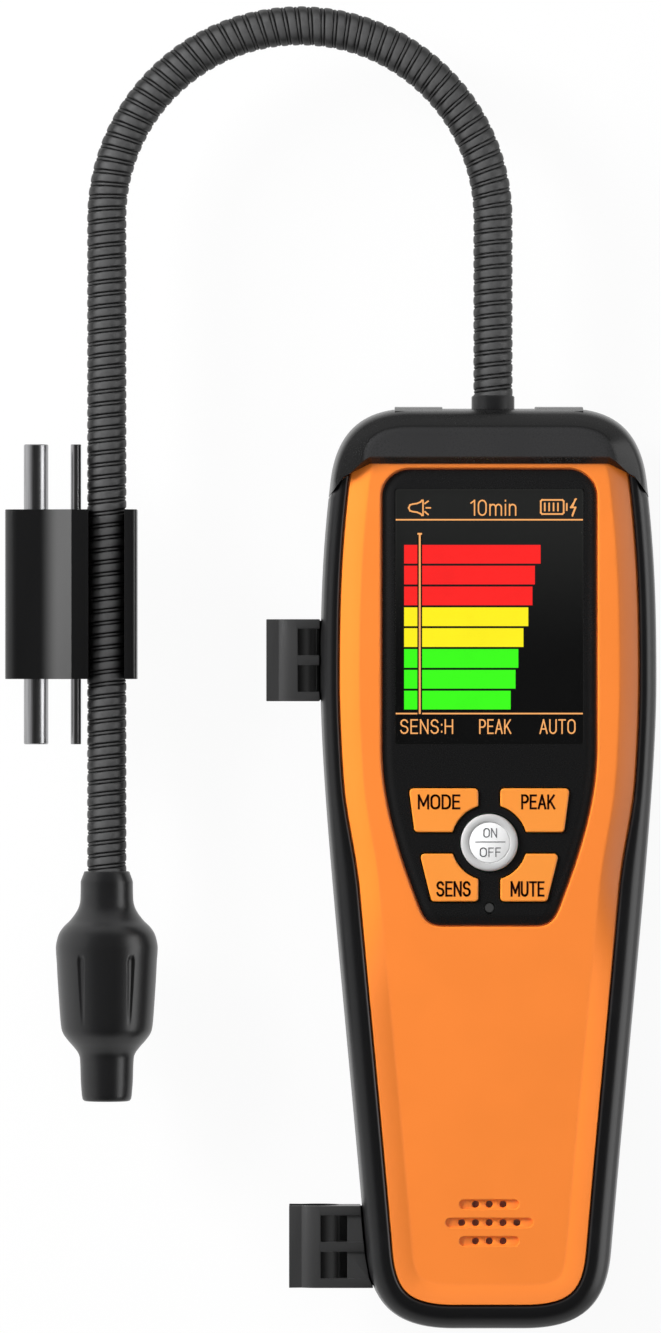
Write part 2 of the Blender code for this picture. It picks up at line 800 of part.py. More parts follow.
def side_bumper():
    """A soft rim swept round the sides and the lower end, ending at the hood's diagonal seams."""
    inner = SKIRT_INSET - SEAT_GAP
    crest = RIM_PROUD
    rings = [
        housing_ring(SPLIT_INSET, SKIRT_Z),
        housing_ring(0.0, mix(SKIRT_Z, STEP_Z, 0.45)),
        housing_ring(SPLIT_INSET / 2, mix(SKIRT_Z, STEP_Z, 0.85)),
        housing_ring(lambda y: rim_inset(y) * 0.30, lambda y: edge_z(y) - 0.0010),
        housing_ring(lambda y: rim_inset(y) * 0.62, lambda y: edge_z(y) + crest),
        housing_ring(lambda y: rim_inset(y) - SEAT_GAP * 2, lambda y: edge_z(y) + crest),
        housing_ring(lambda y: rim_inset(y) - SEAT_GAP, lambda y: edge_z(y) - crest),
        housing_ring(lambda y: rim_inset(y) - SEAT_GAP, STEP_Z + SEAT_GAP),
        housing_ring(inner, STEP_Z + SEAT_GAP),
        housing_ring(inner, SKIRT_Z),
    ]
    rim = loft("side_bumper", rings, RUBBER, closed=True)
    cut(rim, hood_zone("hood_room", SEAT_GAP))
    for name, x, y in hose_clip_places():
        cut(rim, tongue(name + "_slot", x, y, SEAT_GAP))
    return rim


def hood_bevel(y):
    """Inset of the hood's plateau: narrow across the top end and wide at the sides."""
    return HOOD_RIM + mix(HOOD_BEVEL, HOOD_SIDE_BEVEL, ease(y, TOP, TOP - CROWN_DROP))


def top_hood():
    rings = [
        housing_ring(SPLIT_INSET, SKIRT_Z),
        housing_ring(0.0, mix(SKIRT_Z, HOOD_RIM_Z, 0.45)),
        housing_ring(SPLIT_INSET / 2, mix(SKIRT_Z, HOOD_RIM_Z, 0.80)),
        housing_ring(HOOD_RIM, HOOD_RIM_Z),
        housing_ring(lambda y: hood_bevel(y) - BITE, HOOD_Z - BITE / 2),
        housing_ring(hood_bevel, HOOD_Z),
    ]
    hood = loft("top_hood", rings, HOOD)
    for side in (-1, 1):
        low = (side * PAD_OFFSET - PAD_LENGTH / 2, TOP - BITE, NECK_Z - PAD_DEPTH / 2)
        high = (side * PAD_OFFSET + PAD_LENGTH / 2, TOP + PAD_REACH, NECK_Z + PAD_DEPTH / 2)
        join(hood, box(f"pad_{side}", low, high))
    boolean(hood, "INTERSECT", hood_zone("hood_block"))
    cut(
        hood,
        front_skin("hood_room_below", SEAT_GAP),
        rod(
            "hood_hole",
            FERRULE_RADIUS + SEAT_GAP,
            (NECK_X, TOP - SKIRT_INSET - OVERCUT, NECK_Z),
            (NECK_X, TOP + OVERCUT, NECK_Z),
        ),
    )
    return hood


def fascia():
    panel = plate("fascia", FASCIA, FASCIA_BACK, FASCIA_Z, PANEL)
    low, high = FASCIA_BACK - OVERCUT, FASCIA_Z + OVERCUT
    screen = rectangle(SCREEN_WIDTH, SCREEN_HEIGHT, SEAT_GAP * 2, SCREEN_Y)
    cut(panel, plate("screen_hole", screen, low, high))
    for name, side, row in KEYS:
        cut(panel, plate(name + "_hole", key_outline(side, row, RUN_GAP), low, high))
    cut(
        panel,
        plate("power_hole", circle(POWER_RADIUS + RUN_GAP, y=POWER_Y), low, high),
        plate("led_hole", circle(LED_RADIUS + SEAT_GAP, y=LED_Y, sides=12), low, high),
    )
    return panel


def screen():
    """The clear window, and the display whose glass stands up to it through the shell."""
    lens = rectangle(SCREEN_WIDTH - 2 * SEAT_GAP, SCREEN_HEIGHT - 2 * SEAT_GAP, SEAT_GAP, SCREEN_Y)
    plate("screen_lens", lens, FASCIA_BACK, FASCIA_Z - SCREEN_SINK, LENS)
    module = MODULE_TOP - MODULE_THICKNESS
    glass_width, glass_height = SCREEN_WIDTH + GLASS_MARGIN, SCREEN_HEIGHT + GLASS_MARGIN
    stepped(
        "lcd_module",
        (0, SCREEN_Y),
        (
            (MODULE_WIDTH, MODULE_HEIGHT, module),
            (MODULE_WIDTH, MODULE_HEIGHT, MODULE_TOP),
            (glass_width, glass_height, MODULE_TOP),
            (glass_width, glass_height, FASCIA_BACK - SEAT_GAP),
        ),
        DISPLAY,
    )


def stepped(name, centre, levels, material=None):
    """A block whose rectangular section changes with height, given as (width, depth, z)."""
    x, y = centre
    rings = [
        [(x + sx * w / 2, y + sy * d / 2, z) for sx, sy in ((1, 1), (1, -1), (-1, -1), (-1, 1))]
        for w, d, z in levels
    ]
    return loft(name, rings, material)


def key_stack(name, outline, flange, top, centre):
    """A key: its cap through the fascia, the flange that keeps it in, and the stem over its switch."""
    flange_top = FASCIA_BACK - SEAT_GAP
    flange_low = flange_top - KEY_FLANGE_THICKNESS
    key = plate(name, outline, flange_top - BITE / 2, top, KEY if name != "power_key" else POWER)
    soften(key, KEY_EDGE)
    stem_end = BOARD_Z + SEAT_GAP + SWITCH_BODY + SWITCH_BUTTON_HEIGHT + KEY_TRAVEL + SEAT_GAP / 2
    join(
        key,
        plate(name + "_flange", flange, flange_low, flange_top),
        rod(name + "_stem", KEY_STEM, (*centre, stem_end), (*centre, flange_low + BITE / 2), sides=10),
    )
    origin_at(key, (*centre, FASCIA_Z))
    return key


def key_centre(side, row):
    top, bottom, outer_top, outer_bottom = key_row(row)
    return side * (outer_top + outer_bottom + 4 * KEY_INNER) / 4, (top + bottom) / 2


def keys():
    for name, side, row in KEYS:
        key_stack(
            name,
            key_outline(side, row),
            key_outline(side, row, KEY_FLANGE),
            FASCIA_Z + KEY_PROUD,
            key_centre(side, row),
        )
        tact_switch(name.replace("key_", "switch_"), key_centre(side, row))
    key_stack(
        "power_key",
        circle(POWER_RADIUS, y=POWER_Y),
        circle(POWER_RADIUS + KEY_FLANGE, y=POWER_Y),
        FASCIA_Z + POWER_PROUD,
        (0, POWER_Y),
    )
    tact_switch("switch_power", (0, POWER_Y))


def tact_switch(name, centre):
    low = BOARD_Z + SEAT_GAP
    top = low + SWITCH_BODY
    button = 2 * SWITCH_BUTTON
    stepped(
        name,
        centre,
        (
            (SWITCH_SIDE, SWITCH_SIDE, low),
            (SWITCH_SIDE, SWITCH_SIDE, top),
            (button, button, top),
            (button, button, top + SWITCH_BUTTON_HEIGHT),
        ),
        METAL,
    )


def status_led():
    """A light pipe from the board to the fascia."""
    flange = FASCIA_BACK - SEAT_GAP
    low = BOARD_Z + SEAT_GAP
    profile = (
        (0, FASCIA_Z),
        (LED_RADIUS, FASCIA_Z),
        (LED_RADIUS, flange),
        (LED_FLANGE, flange),
        (LED_FLANGE, flange - KEY_FLANGE_THICKNESS),
        (LED_RADIUS, flange - KEY_FLANGE_THICKNESS),
        (LED_RADIUS, low),
        (0, low),
    )
    turned("status_led", profile, (0, LED_Y, 0), (0, 0, 1), LAMP, steps=12)


def electronics():
    """The board under the display and keys, the cell in the grip, the sounder and the charging socket."""
    board = rectangle(BOARD_WIDTH, BOARD_TOP - BOARD_END, BITE * 3, (BOARD_TOP + BOARD_END) / 2)
    plate("main_board", board, BOARD_Z - BOARD_THICKNESS, BOARD_Z, BOARD)
    half = CELL_LENGTH / 2
    edge = CELL_RADIUS / 10
    profile = (
        (0, half),
        (CELL_CAP, half),
        (CELL_CAP, half - edge),
        (CELL_RADIUS - edge, half - edge),
        (CELL_RADIUS, half - 2 * edge),
        (CELL_RADIUS, -half + edge),
        (CELL_RADIUS - edge, -half),
        (0, -half),
    )
    cell_z = BACK_WALL + SEAT_GAP + CELL_RADIUS
    turned("battery_cell", profile, (0, CELL_Y, cell_z), (0, 1, 0), CELL, steps=20)
    top = FACE_BACK - SEAT_GAP
    low = top - SPEAKER_THICKNESS
    basket = SPEAKER_RADIUS * 0.7
    profile = (
        (0, top),
        (SPEAKER_RADIUS, top),
        (SPEAKER_RADIUS, mix(low, top, 0.6)),
        (basket, low),
        (0, low),
    )
    turned("speaker", profile, (0, SOUNDER_Y, 0), (0, 0, 1), METAL, steps=16)
    front = END + SPLIT_INSET + PORT_RECESS
    socket = rectangle(PORT_WIDTH, PORT_HEIGHT, PORT_HEIGHT * 0.3, PORT_Z)
    port = plate("charge_port", socket, front, front + PORT_DEPTH, METAL, axis="Y")
    slot = rectangle(PORT_WIDTH - PORT_SLOT, PORT_HEIGHT - PORT_SLOT, PORT_HEIGHT * 0.15, PORT_Z)
    cut(port, plate("port_slot", slot, front - OVERCUT, front + PORT_DEPTH * 0.7, axis="Y"))


def pump():
    """Motor and head of the sampling pump, and the tube that joins it to the neck."""
    head_width, head_length, head_height = PUMP_HEAD
    floor = BACK_WALL + SEAT_GAP
    z = floor + head_height / 2
    y = PUMP_Y + PUMP_LENGTH / 2
    back = (0, PUMP_Y - PUMP_LENGTH / 2, z)
    motor = rod("suction_pump", PUMP_RADIUS, back, (0, y + BITE, z), METAL, sides=20)
    low, high = (-head_width / 2, y, floor), (head_width / 2, y + head_length, floor + head_height)
    join(motor, box("pump_head", low, high))
    spout = y + head_length
    join(motor, rod("pump_spout", AIR_TUBE_RADIUS, (0, spout - BITE, z), (0, spout + BITE * 3, z), sides=10))
    start = Vector((0, spout + BITE * 3 + SEAT_GAP, z))
    end = Vector((NECK_X, ferrule_end() - SEAT_GAP, NECK_Z))
    pull = Vector((0, (end.y - start.y) / 2, 0))
    curve = bpy.data.curves.new("air_tube", "CURVE")
    curve.dimensions = "3D"
    curve.bevel_depth = AIR_TUBE_RADIUS
    curve.bevel_resolution = 2
    curve.use_fill_caps = True
    route = interpolate_bezier(start, start + pull, end - pull, end, 8)
    spline = curve.splines.new("POLY")
    spline.points.add(len(route) - 1)
    for point, place in zip(spline.points, route):
        point.co = (*place, 1)
    tube = bpy.data.objects.new("air_tube", curve)
    curve.materials.append(RUBBER)
    PARTS.objects.link(tube)


def ferrule_end():
    """The inner end of the neck's ferrule, inside the housing."""
    return TOP - SKIRT_INSET - SKIRT_WALL - SEAT_GAP - FERRULE_FLANGE_THICKNESS


def neck_ferrule():
    """A turned collar: its flange seats inside the skirt, and the neck's spigot sits in its bore."""
    seat = ferrule_end() + FERRULE_FLANGE_THICKNESS
    tip = TOP + FERRULE_PROUD
    bore = SPIGOT_RADIUS + SEAT_GAP
    bottom = NECK_START - SPIGOT_LENGTH - SEAT_GAP
    profile = (
        (0, bottom),
        (bore, bottom),
        (bore, tip),
        (FERRULE_RADIUS - SEAT_GAP, tip),
        (FERRULE_RADIUS, tip - SEAT_GAP),
        (FERRULE_RADIUS, seat),
        (FERRULE_FLANGE, seat),
        (FERRULE_FLANGE, ferrule_end()),
        (0, ferrule_end()),
    )
    turned("neck_ferrule", profile, (NECK_X, 0, NECK_Z), (0, 1, 0), COLLAR, steps=16)


def neck_route():
    """Length of the ribbed neck, and its point and sideways direction at any distance along it."""
    up = LOOP_Y - NECK_START
    round_loop = math.pi * LOOP_RADIUS
    down = LOOP_Y - HEAD_Y - SEAT_GAP

    def place(s):
        if s < up:
            return Vector((NECK_X, NECK_START + s, NECK_Z)), Vector((1, 0, 0))
        if s > up + round_loop:
            return Vector((HEAD_X, LOOP_Y - (s - up - round_loop), NECK_Z)), Vector((-1, 0, 0))
        turn = (s - up) / LOOP_RADIUS
        side = Vector((math.cos(turn), math.sin(turn), 0))
        return Vector((NECK_X - LOOP_RADIUS, LOOP_Y, NECK_Z)) + side * LOOP_RADIUS, side

    return up + round_loop + down, place


def gooseneck():
    """One strip wound as a single-start helix: a wide band, then a V groove, carried round the loop.

    Each row of points runs once round the neck while it advances a pitch, so the last point of a row is
    the first point of the row one pitch back. Rows that would pass an end collapse onto that end's ring.
    """
    length, place = neck_route()
    turns = round(length / NECK_PITCH)
    pitch = length / turns
    band = ((1 - BAND_SHARE) / 2, NECK_RADIUS), ((1 + BAND_SHARE) / 2, NECK_RADIUS), (1.0, NECK_CORE)
    rows = len(band)
    bm = bmesh.new()
    made = {}

    def corner(s, column, radius):
        position, side = place(min(max(s, 0), length))
        angle = math.tau * column / NECK_SIDES
        spoke = side * math.cos(angle) + Vector((0, 0, 1)) * math.sin(angle)
        return bm.verts.new(position + spoke * radius)

    def vertex(row, column):
        if column == NECK_SIDES:
            row, column = row - rows, 0
        share, radius = band[row % rows]
        s = (row // rows + share - column / NECK_SIDES) * pitch
        if s <= pitch / NECK_SIDES / 2:
            key, s, radius = ("start", column), 0, NECK_CORE
        elif s >= length - pitch / NECK_SIDES / 2:
            key, s, radius = ("finish", column), length, NECK_CORE
        else:
            key = (row, column)
        if key not in made:
            made[key] = corner(s, column, radius)
        return made[key]

    for row in range(-rows, (turns + 2) * rows):
        for column in range(NECK_SIDES):
            ring = [
                vertex(row, column),
                vertex(row, column + 1),
                vertex(row + 1, column + 1),
                vertex(row + 1, column),
            ]
            ring = [v for i, v in enumerate(ring) if v is not ring[i - 1]]
            if len(ring) > 2:
                bm.faces.new(ring)
    for name, s, outward in (("start", 0, -1), ("finish", length, 1)):
        position, side = place(s)
        along = Vector((0, 1, 0)) * (outward if name == "start" else -outward)
        last = [made[name, column] for column in range(NECK_SIDES)]
        for reach in (0, SPIGOT_LENGTH):
            ring = []
            for column in range(NECK_SIDES):
                angle = math.tau * column / NECK_SIDES
                spoke = side * math.cos(angle) + Vector((0, 0, 1)) * math.sin(angle)
                ring.append(bm.verts.new(position + along * reach + spoke * SPIGOT_RADIUS))
            for i in range(NECK_SIDES):
                j = (i + 1) % NECK_SIDES
                bm.faces.new((last[i], last[j], ring[j], ring[i]))
            last = ring
        bm.faces.new(last)
    return add("gooseneck", mesh_of(bm, "gooseneck"), NECK)


def probe_head():
    """The socket on the neck's end, the sensor on it, and the cap with its inlet filter."""
    place = (HEAD_X, HEAD_Y, NECK_Z)
    down = (0, -1, 0)
    bore = SPIGOT_RADIUS + SEAT_GAP
    deep = SPIGOT_LENGTH + SEAT_GAP * 2
    start = SEAT_GAP * 2
    socket = (
        (0, FITTING_LENGTH),
        (FITTING_RADIUS, FITTING_LENGTH),
        (FITTING_RADIUS, start),
        (bore, start),
        (bore, deep),
        (0, deep),
    )
    turned("probe_fitting", socket, place, down, COLLAR, steps=16)
    low = FITTING_LENGTH + SEAT_GAP
    step = low + SENSOR_LENGTH * 0.15
    sensor = (
        (0, low + SENSOR_LENGTH),
        (SENSOR_RADIUS, low + SENSOR_LENGTH),
        (SENSOR_RADIUS, step),
        (FITTING_RADIUS, step),
        (FITTING_RADIUS, low),
        (0, low),
    )
    turned("sensor_element", sensor, place, down, METAL, steps=16)
    sleeve = FITTING_RADIUS + RUN_GAP
    cavity = BULB_RADIUS - CAP_WALL
    cavity_end = BULB_END_RADIUS - CAP_WALL
    filter_top = NOZZLE_TOP - CAP_WALL
    seat = NOZZLE_RADIUS - CAP_WALL
    filter_end = filter_top + FILTER_THICKNESS + SEAT_GAP
    outer = (
        (NOZZLE_END_RADIUS - SEAT_GAP * 2, CAP_LENGTH),
        (NOZZLE_END_RADIUS, CAP_LENGTH - SEAT_GAP * 2),
        (NOZZLE_RADIUS, NOZZLE_TOP),
        (mix(NOZZLE_RADIUS, BULB_END_RADIUS, 0.30), mix(BULB_END, NOZZLE_TOP, 0.76)),
        (mix(NOZZLE_RADIUS, BULB_END_RADIUS, 0.85), mix(BULB_END, NOZZLE_TOP, 0.38)),
        (BULB_END_RADIUS, BULB_END),
        (BULB_RADIUS, BULB_TOP),
        (mix(CAP_COLLAR, BULB_RADIUS, 0.78), mix(CAP_NECK_LENGTH, BULB_TOP, 0.60)),
        (mix(CAP_COLLAR, BULB_RADIUS, 0.22), mix(CAP_NECK_LENGTH, BULB_TOP, 0.36)),
        (CAP_COLLAR, CAP_NECK_LENGTH),
        (CAP_COLLAR, CAP_COLLAR_EDGE * 2),
        (CAP_COLLAR - CAP_COLLAR_EDGE, 0),
    )
    inner = (
        (sleeve, 0),
        (sleeve, CAP_NECK_LENGTH + CAP_WALL * 2),
        (cavity, BULB_TOP + CAP_WALL),
        (cavity_end, BULB_END),
        (seat, filter_top),
        (seat, filter_end),
        (INLET_RADIUS, filter_end),
        (INLET_RADIUS, CAP_LENGTH),
    )
    cap = turned("sensor_cap", (*outer, *inner), place, down, CAP, steps=22, closed=True)
    for k in range(FLUTES):
        angle = math.tau * (k + 0.5) / FLUTES + math.pi / 2
        surface = mix(BULB_RADIUS, BULB_END_RADIUS, (FLUTE_TOP - BULB_TOP) / (BULB_END - BULB_TOP))
        reach = surface + FLUTE_RADIUS - FLUTE_DEPTH
        x = HEAD_X + reach * math.cos(angle)
        z = NECK_Z + reach * math.sin(angle)
        top = HEAD_Y - FLUTE_TOP
        flute = rod(f"flute_{k}", FLUTE_RADIUS, (x, top, z), (x, top - FLUTE_LENGTH, z), sides=10)
        soften(flute, FLUTE_RADIUS * 0.6)
        cut(cap, flute)
    turned(
        "inlet_filter",
        (
            (0, filter_top + FILTER_THICKNESS),
            (seat - SEAT_GAP, filter_top + FILTER_THICKNESS),
            (seat - SEAT_GAP, filter_top),
            (0, filter_top),
        ),
        place,
        down,
        FELT,
        steps=16,
    )


def probe_clip():
    """The block on the neck's left leg: two rods beside a channel open to the front."""
    low, high = CLIP_Y - CLIP_LENGTH / 2, CLIP_Y + CLIP_LENGTH / 2
    left, right = HEAD_X - CLIP_LEFT, HEAD_X + CLIP_REACH
    foot, top = (HEAD_X - reach for reach in CLIP_RAMP)
    half = [
        (left, CLIP_LOW_HALF_HEIGHT, CLIP_ROUND),
        (foot, CLIP_LOW_HALF_HEIGHT, 0),
        (top, CLIP_HALF_HEIGHT, 0),
        (right, CLIP_HALF_HEIGHT, CLIP_EDGE),
    ]
    corners = half + [(x, -z, radius) for x, z, radius in reversed(half)]
    section = rounded([(x, NECK_Z + z, radius) for x, z, radius in corners], 5)
    block = plate("probe_clip", section, low, high, CLIP, axis="Y")
    depth = CLIP_HALF_HEIGHT + OVERCUT
    mouth = rectangle(CLIP_MOUTH, depth, 0, NECK_Z + depth / 2, HEAD_X)
    past = (low - OVERCUT, high + OVERCUT)
    start, end = ((HEAD_X, y, NECK_Z) for y in past)
    cut(
        block,
        rod("clip_channel", NECK_RADIUS + RUN_GAP, start, end, sides=20),
        plate("clip_mouth", mouth, *past, axis="Y"),
    )
    for name, reach, radius, sides in (
        ("clip_rod_large", LARGE_ROD_OFFSET, LARGE_ROD_RADIUS, 20),
        ("clip_rod_small", SMALL_ROD_OFFSET, SMALL_ROD_RADIUS, 12),
    ):
        x = HEAD_X - reach
        start, end = ((x, y, NECK_Z) for y in past)
        cut(block, rod(name + "_bore", radius + SEAT_GAP, start, end, sides=sides))
        start, end = ((x, CLIP_Y + side * ROD_LENGTH / 2, NECK_Z) for side in (-1, 1))
        rod(name, radius, start, end, STEEL, sides)


def tongue(name, x, y, grow=0.0):
    """The hose clip's tongue, or the slot for it in the side bumper. Its end follows the housing's side."""
    z = NECK_Z - TONGUE_DROP
    low = (x, y - TONGUE_WIDTH / 2 - grow, z - TONGUE_HEIGHT / 2 - grow)
    high = (0, y + TONGUE_WIDTH / 2 + grow, z + TONGUE_HEIGHT / 2 + grow)
    bar = box(name, low, high)
    depth = TONGUE_DEPTH + grow
    cut(bar, loft(name + "_end", [housing_ring(depth, SPLIT_Z), housing_ring(depth, STEP_Z)]))
    return bar


def hose_clip_places():
    upper, lower = TOP - UPPER_CLIP_DROP, END + LOWER_CLIP_RISE
    return (
        ("hose_clip_upper", -side_x(upper) - UPPER_CLIP_STANDOFF, upper),
        ("hose_clip_lower", -side_x(lower) - LOWER_CLIP_STANDOFF, lower),
    )


def hose_clips():
    """Snap clips open to the left, each joined to the housing by a deck with two windows and three ribs."""
    outer = HOSE_CLIP_BORE + HOSE_CLIP_WALL
    mouth = math.pi - math.asin(HOSE_CLIP_MOUTH / 2 / HOSE_CLIP_BORE)
    root = math.asin(BRACKET_HEIGHT / 2 / outer)
    crest = NECK_Z + outer
    tip_z = HOSE_CLIP_MOUTH / 2 + HOSE_CLIP_LIP
    for name, x, y in hose_clip_places():
        low, high = y - HOSE_CLIP_LENGTH / 2, y + HOSE_CLIP_LENGTH / 2
        far = outer - side_x(low)
        tip_x = x - HOSE_CLIP_REACH
        section = [
            *clip_arc(x, HOSE_CLIP_BORE, mouth, -mouth, 14),
            (tip_x, NECK_Z - tip_z + HOSE_CLIP_TIP),
            (tip_x, NECK_Z - tip_z),
            *clip_arc(x, outer, -mouth, -root, 5),
            (far, NECK_Z - BRACKET_HEIGHT / 2),
            (far, crest),
            *clip_arc(x, outer, math.pi / 2, mouth, 4),
            (tip_x, NECK_Z + tip_z),
            (tip_x, NECK_Z + tip_z - HOSE_CLIP_TIP),
        ]
        clip = plate(name, section, low, high, CLIP, axis="Y")
        cut(clip, housing_envelope(name + "_side"))
        join(clip, tongue(name + "_tongue", x + HOSE_CLIP_BORE + BITE / 2, y))
        start, end = x + WINDOW_START, x + WINDOW_START + WINDOW_WIDTH
        for k in (-1, 1):
            middle = y + k * WINDOW_PITCH / 2
            front, back = middle - WINDOW_HEIGHT / 2, middle + WINDOW_HEIGHT / 2
            cut(
                clip,
                box(
                    f"{name}_window_{k}",
                    (start, front, crest - WINDOW_DEPTH),
                    (end, back, crest + OVERCUT),
                ),
                box(
                    f"{name}_recess_{k}",
                    (end - BITE, front, crest - RIB_HEIGHT),
                    (far + OVERCUT, back, crest + OVERCUT),
                ),
            )


def clip_arc(x, radius, first, last, steps):
    """Points on a circle about the hose clip's bore."""
    turns = (mix(first, last, k / steps) for k in range(steps + 1))
    return [(x + radius * math.cos(turn), NECK_Z + radius * math.sin(turn)) for turn in turns]


def housing_envelope(name):
    """The housing's side wall with a seating gap round it, for trimming what is fixed to it."""
    return loft(
        name,
        [housing_ring(-SEAT_GAP, SPLIT_Z - OVERCUT), housing_ring(-SEAT_GAP, STEP_Z)],
    )


def screws():
    """Four countersunk screws from the back into the front shell's posts."""
    names = ("upper_left", "upper_right", "lower_left", "lower_right")
    places = ((x * side, y) for x, y in post_places() for side in (-1, 1))
    head = SCREW_HEAD_HEIGHT - SEAT_GAP
    for name, (x, y) in zip(names, places):
        profile = (
            (0, head + SCREW_LENGTH),
            (SCREW_RADIUS, head + SCREW_LENGTH),
            (SCREW_RADIUS, head),
            (SCREW_HEAD, head),
            (SCREW_HEAD, 0),
            (0, 0),
        )
        turned("screw_" + name, profile, (x, y, SCREW_DEPTH), (0, 0, 1), STEEL, steps=10)


for leftover in list(bpy.data.objects):
    bpy.data.objects.remove(leftover)

PARTS = collection("refrigerant_leak_detector")
CUTTERS = collection("cutters")

SHELL = finish("orange_plastic", (0.99, 0.26, 0.035), 0.42)
SHELL_BACK = finish("black_shell", (0.014, 0.014, 0.015), 0.5)
RUBBER = finish("black_rubber", (0.012, 0.012, 0.013), 0.6)
HOOD = finish("hood_plastic", (0.03, 0.03, 0.032), 0.4)
PANEL = finish("fascia_black", (0.008, 0.008, 0.009), 0.3)
LENS = finish("smoked_window", (0.01, 0.01, 0.012), 0.08)
DISPLAY = finish("display_glass", (0.02, 0.02, 0.02), 0.2)
KEY = finish("orange_key", (1.0, 0.31, 0.035), 0.45)
POWER = finish("white_key", (0.80, 0.80, 0.80), 0.4)
LAMP = finish("lamp_lens", (0.05, 0.05, 0.05), 0.2)
BOARD = finish("green_board", (0.01, 0.12, 0.04), 0.5)
CELL = finish("cell_sleeve", (0.05, 0.15, 0.35), 0.4)
METAL = finish("plated_metal", (0.6, 0.6, 0.6), 0.35, 1.0)
STEEL = finish("polished_steel", (0.55, 0.55, 0.57), 0.2, 1.0)
COLLAR = finish("black_collar", (0.03, 0.03, 0.03), 0.35)
NECK = finish("neck_strip", (0.025, 0.025, 0.026), 0.4)
CAP = finish("cap_rubber", (0.02, 0.02, 0.021), 0.5)
CLIP = finish("clip_plastic", (0.04, 0.04, 0.041), 0.45)
FELT = finish("filter_felt", (0.75, 0.75, 0.72), 0.9)

KEYS = (("key_mode", -1, 0), ("key_peak", 1, 0), ("key_sens", -1, 1), ("key_mute", 1, 1))
OUTLINE = housing_outline()
FASCIA = fascia_outline()

front_shell()
rear_shell()
side_bumper()
top_hood()
fascia()
screen()
keys()
status_led()
electronics()
pump()
neck_ferrule()
gooseneck()
probe_head()
probe_clip()
hose_clips()
screws()
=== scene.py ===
"""Looks for a hand-held leak detector: outer surfaces, finishes, the lit screen and a pale stage."""

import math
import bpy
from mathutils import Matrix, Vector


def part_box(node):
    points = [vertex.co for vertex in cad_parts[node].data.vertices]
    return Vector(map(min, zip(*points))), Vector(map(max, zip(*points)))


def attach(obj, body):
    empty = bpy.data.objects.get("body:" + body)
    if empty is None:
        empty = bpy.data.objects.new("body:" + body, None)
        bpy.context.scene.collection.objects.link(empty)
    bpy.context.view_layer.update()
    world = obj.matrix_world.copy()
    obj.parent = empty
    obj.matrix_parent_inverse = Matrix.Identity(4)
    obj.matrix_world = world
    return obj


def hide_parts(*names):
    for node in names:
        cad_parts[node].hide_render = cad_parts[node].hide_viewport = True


bl_info = {
    "name": "Leak Detector Looks",
    "version": (1, 0, 0),
    "blender": (4, 5, 0),
    "location": "3D View > Sidebar > Leak Detector",
    "description": "Dresses the leak detector's solids with fine surfaces, finishes and a stage",
    "category": "Object",
}

import bmesh
import bpy
from bpy.props import FloatProperty, FloatVectorProperty, IntProperty, PointerProperty
from bpy.types import Operator, Panel, PropertyGroup
from mathutils import Matrix, Vector
from mathutils.geometry import interpolate_bezier

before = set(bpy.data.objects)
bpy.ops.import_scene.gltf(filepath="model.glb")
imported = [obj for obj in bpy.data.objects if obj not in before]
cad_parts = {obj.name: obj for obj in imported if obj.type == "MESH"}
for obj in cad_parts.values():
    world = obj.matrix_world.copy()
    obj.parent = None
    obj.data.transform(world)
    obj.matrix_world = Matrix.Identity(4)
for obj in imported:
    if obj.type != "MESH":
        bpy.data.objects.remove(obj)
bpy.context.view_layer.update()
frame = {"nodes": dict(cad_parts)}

MM = 0.001
INK = 0.00004  # thickness of printed and lit lines
SCREWS = ("screw_upper_left", "screw_upper_right", "screw_lower_left", "screw_lower_right")
HOSE_CLIPS = ("hose_clip_upper", "hose_clip_lower")

# Sizes shared with the solids, in metres
TOP = 0.1049
END = -0.1049
SEAT_GAP = 0.0003
OVERCUT = 0.0020
SPLIT_Z = 0.0120
SKIRT_Z = SPLIT_Z + SEAT_GAP
SPLIT_INSET = 0.0007
SKIRT_INSET = 0.0027
SKIRT_WALL = 0.0018
FACE_Z = 0.0360
FACE_WALL = 0.0028
FACE_BACK = FACE_Z - FACE_WALL
STEP_Z = FACE_Z - 0.0042
CROWN_DROP = 0.0164
GRIP_RISE = 0.0174
RIM_WIDTHS = (0.0044, 0.0061)  # beside the screen and along the grip
BACK_EDGES = (0.0085, 0.0115)
RIM_CHANGE = (0.0200, -0.0050)  # where both of them start and stop changing
FACET_WIDTH = 0.0044
FACET_DROP = 0.0018
EDGE_RISE = 0.0027
FACET_CHANGE = (0.0030, -0.0340)
PANEL_DROP = 0.0006  # fall of the panel's sloped border
FASCIA_LEDGE = 0.0012
FASCIA_Z = 0.0356
FASCIA_BACK = 0.0346
BACK_WALL = 0.0022
WELL_RADIUS = 0.0029
PORT_WAY = (0.0096, 0.0040, 0.0011)  # width, height and corner of the charging opening
HOOD_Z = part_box("top_hood")[1].z
HOOD_RIM_Z = 0.0346
HOOD_RIM = 0.0013
HOOD_BEVEL = (0.0034, 0.0064)  # across the top end and at the sides
PAD_OFFSET = 0.0160
PAD_HALF = 0.0054
PAD_ROOT = 0.0012
PAD_SECTION = ((-0.0045, 0.0004), (0.0030, 0.0004), (0.0100, 0.0), (0.0130, -0.0008))  # height, reach
FERRULE_WAY = 0.0052
HOOD_EDGE = ((0.0271, 0.0128), (0.0330, 0.0157), (0.0372, 0.0212), (0.0450, 0.0314))
NECK_X = 0.00105
NECK_Z = 0.0200
NECK_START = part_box("neck_ferrule")[1].y + 0.00002
LOOP_RADIUS = 0.0441
LOOP_Y = 0.1483
HEAD_X = NECK_X - 2 * LOOP_RADIUS
HEAD_Y = -0.0007
POWER_Y = 0.0061
KEYS = (("key_mode", -1, 0), ("key_peak", 1, 0), ("key_sens", -1, 1), ("key_mute", 1, 1))
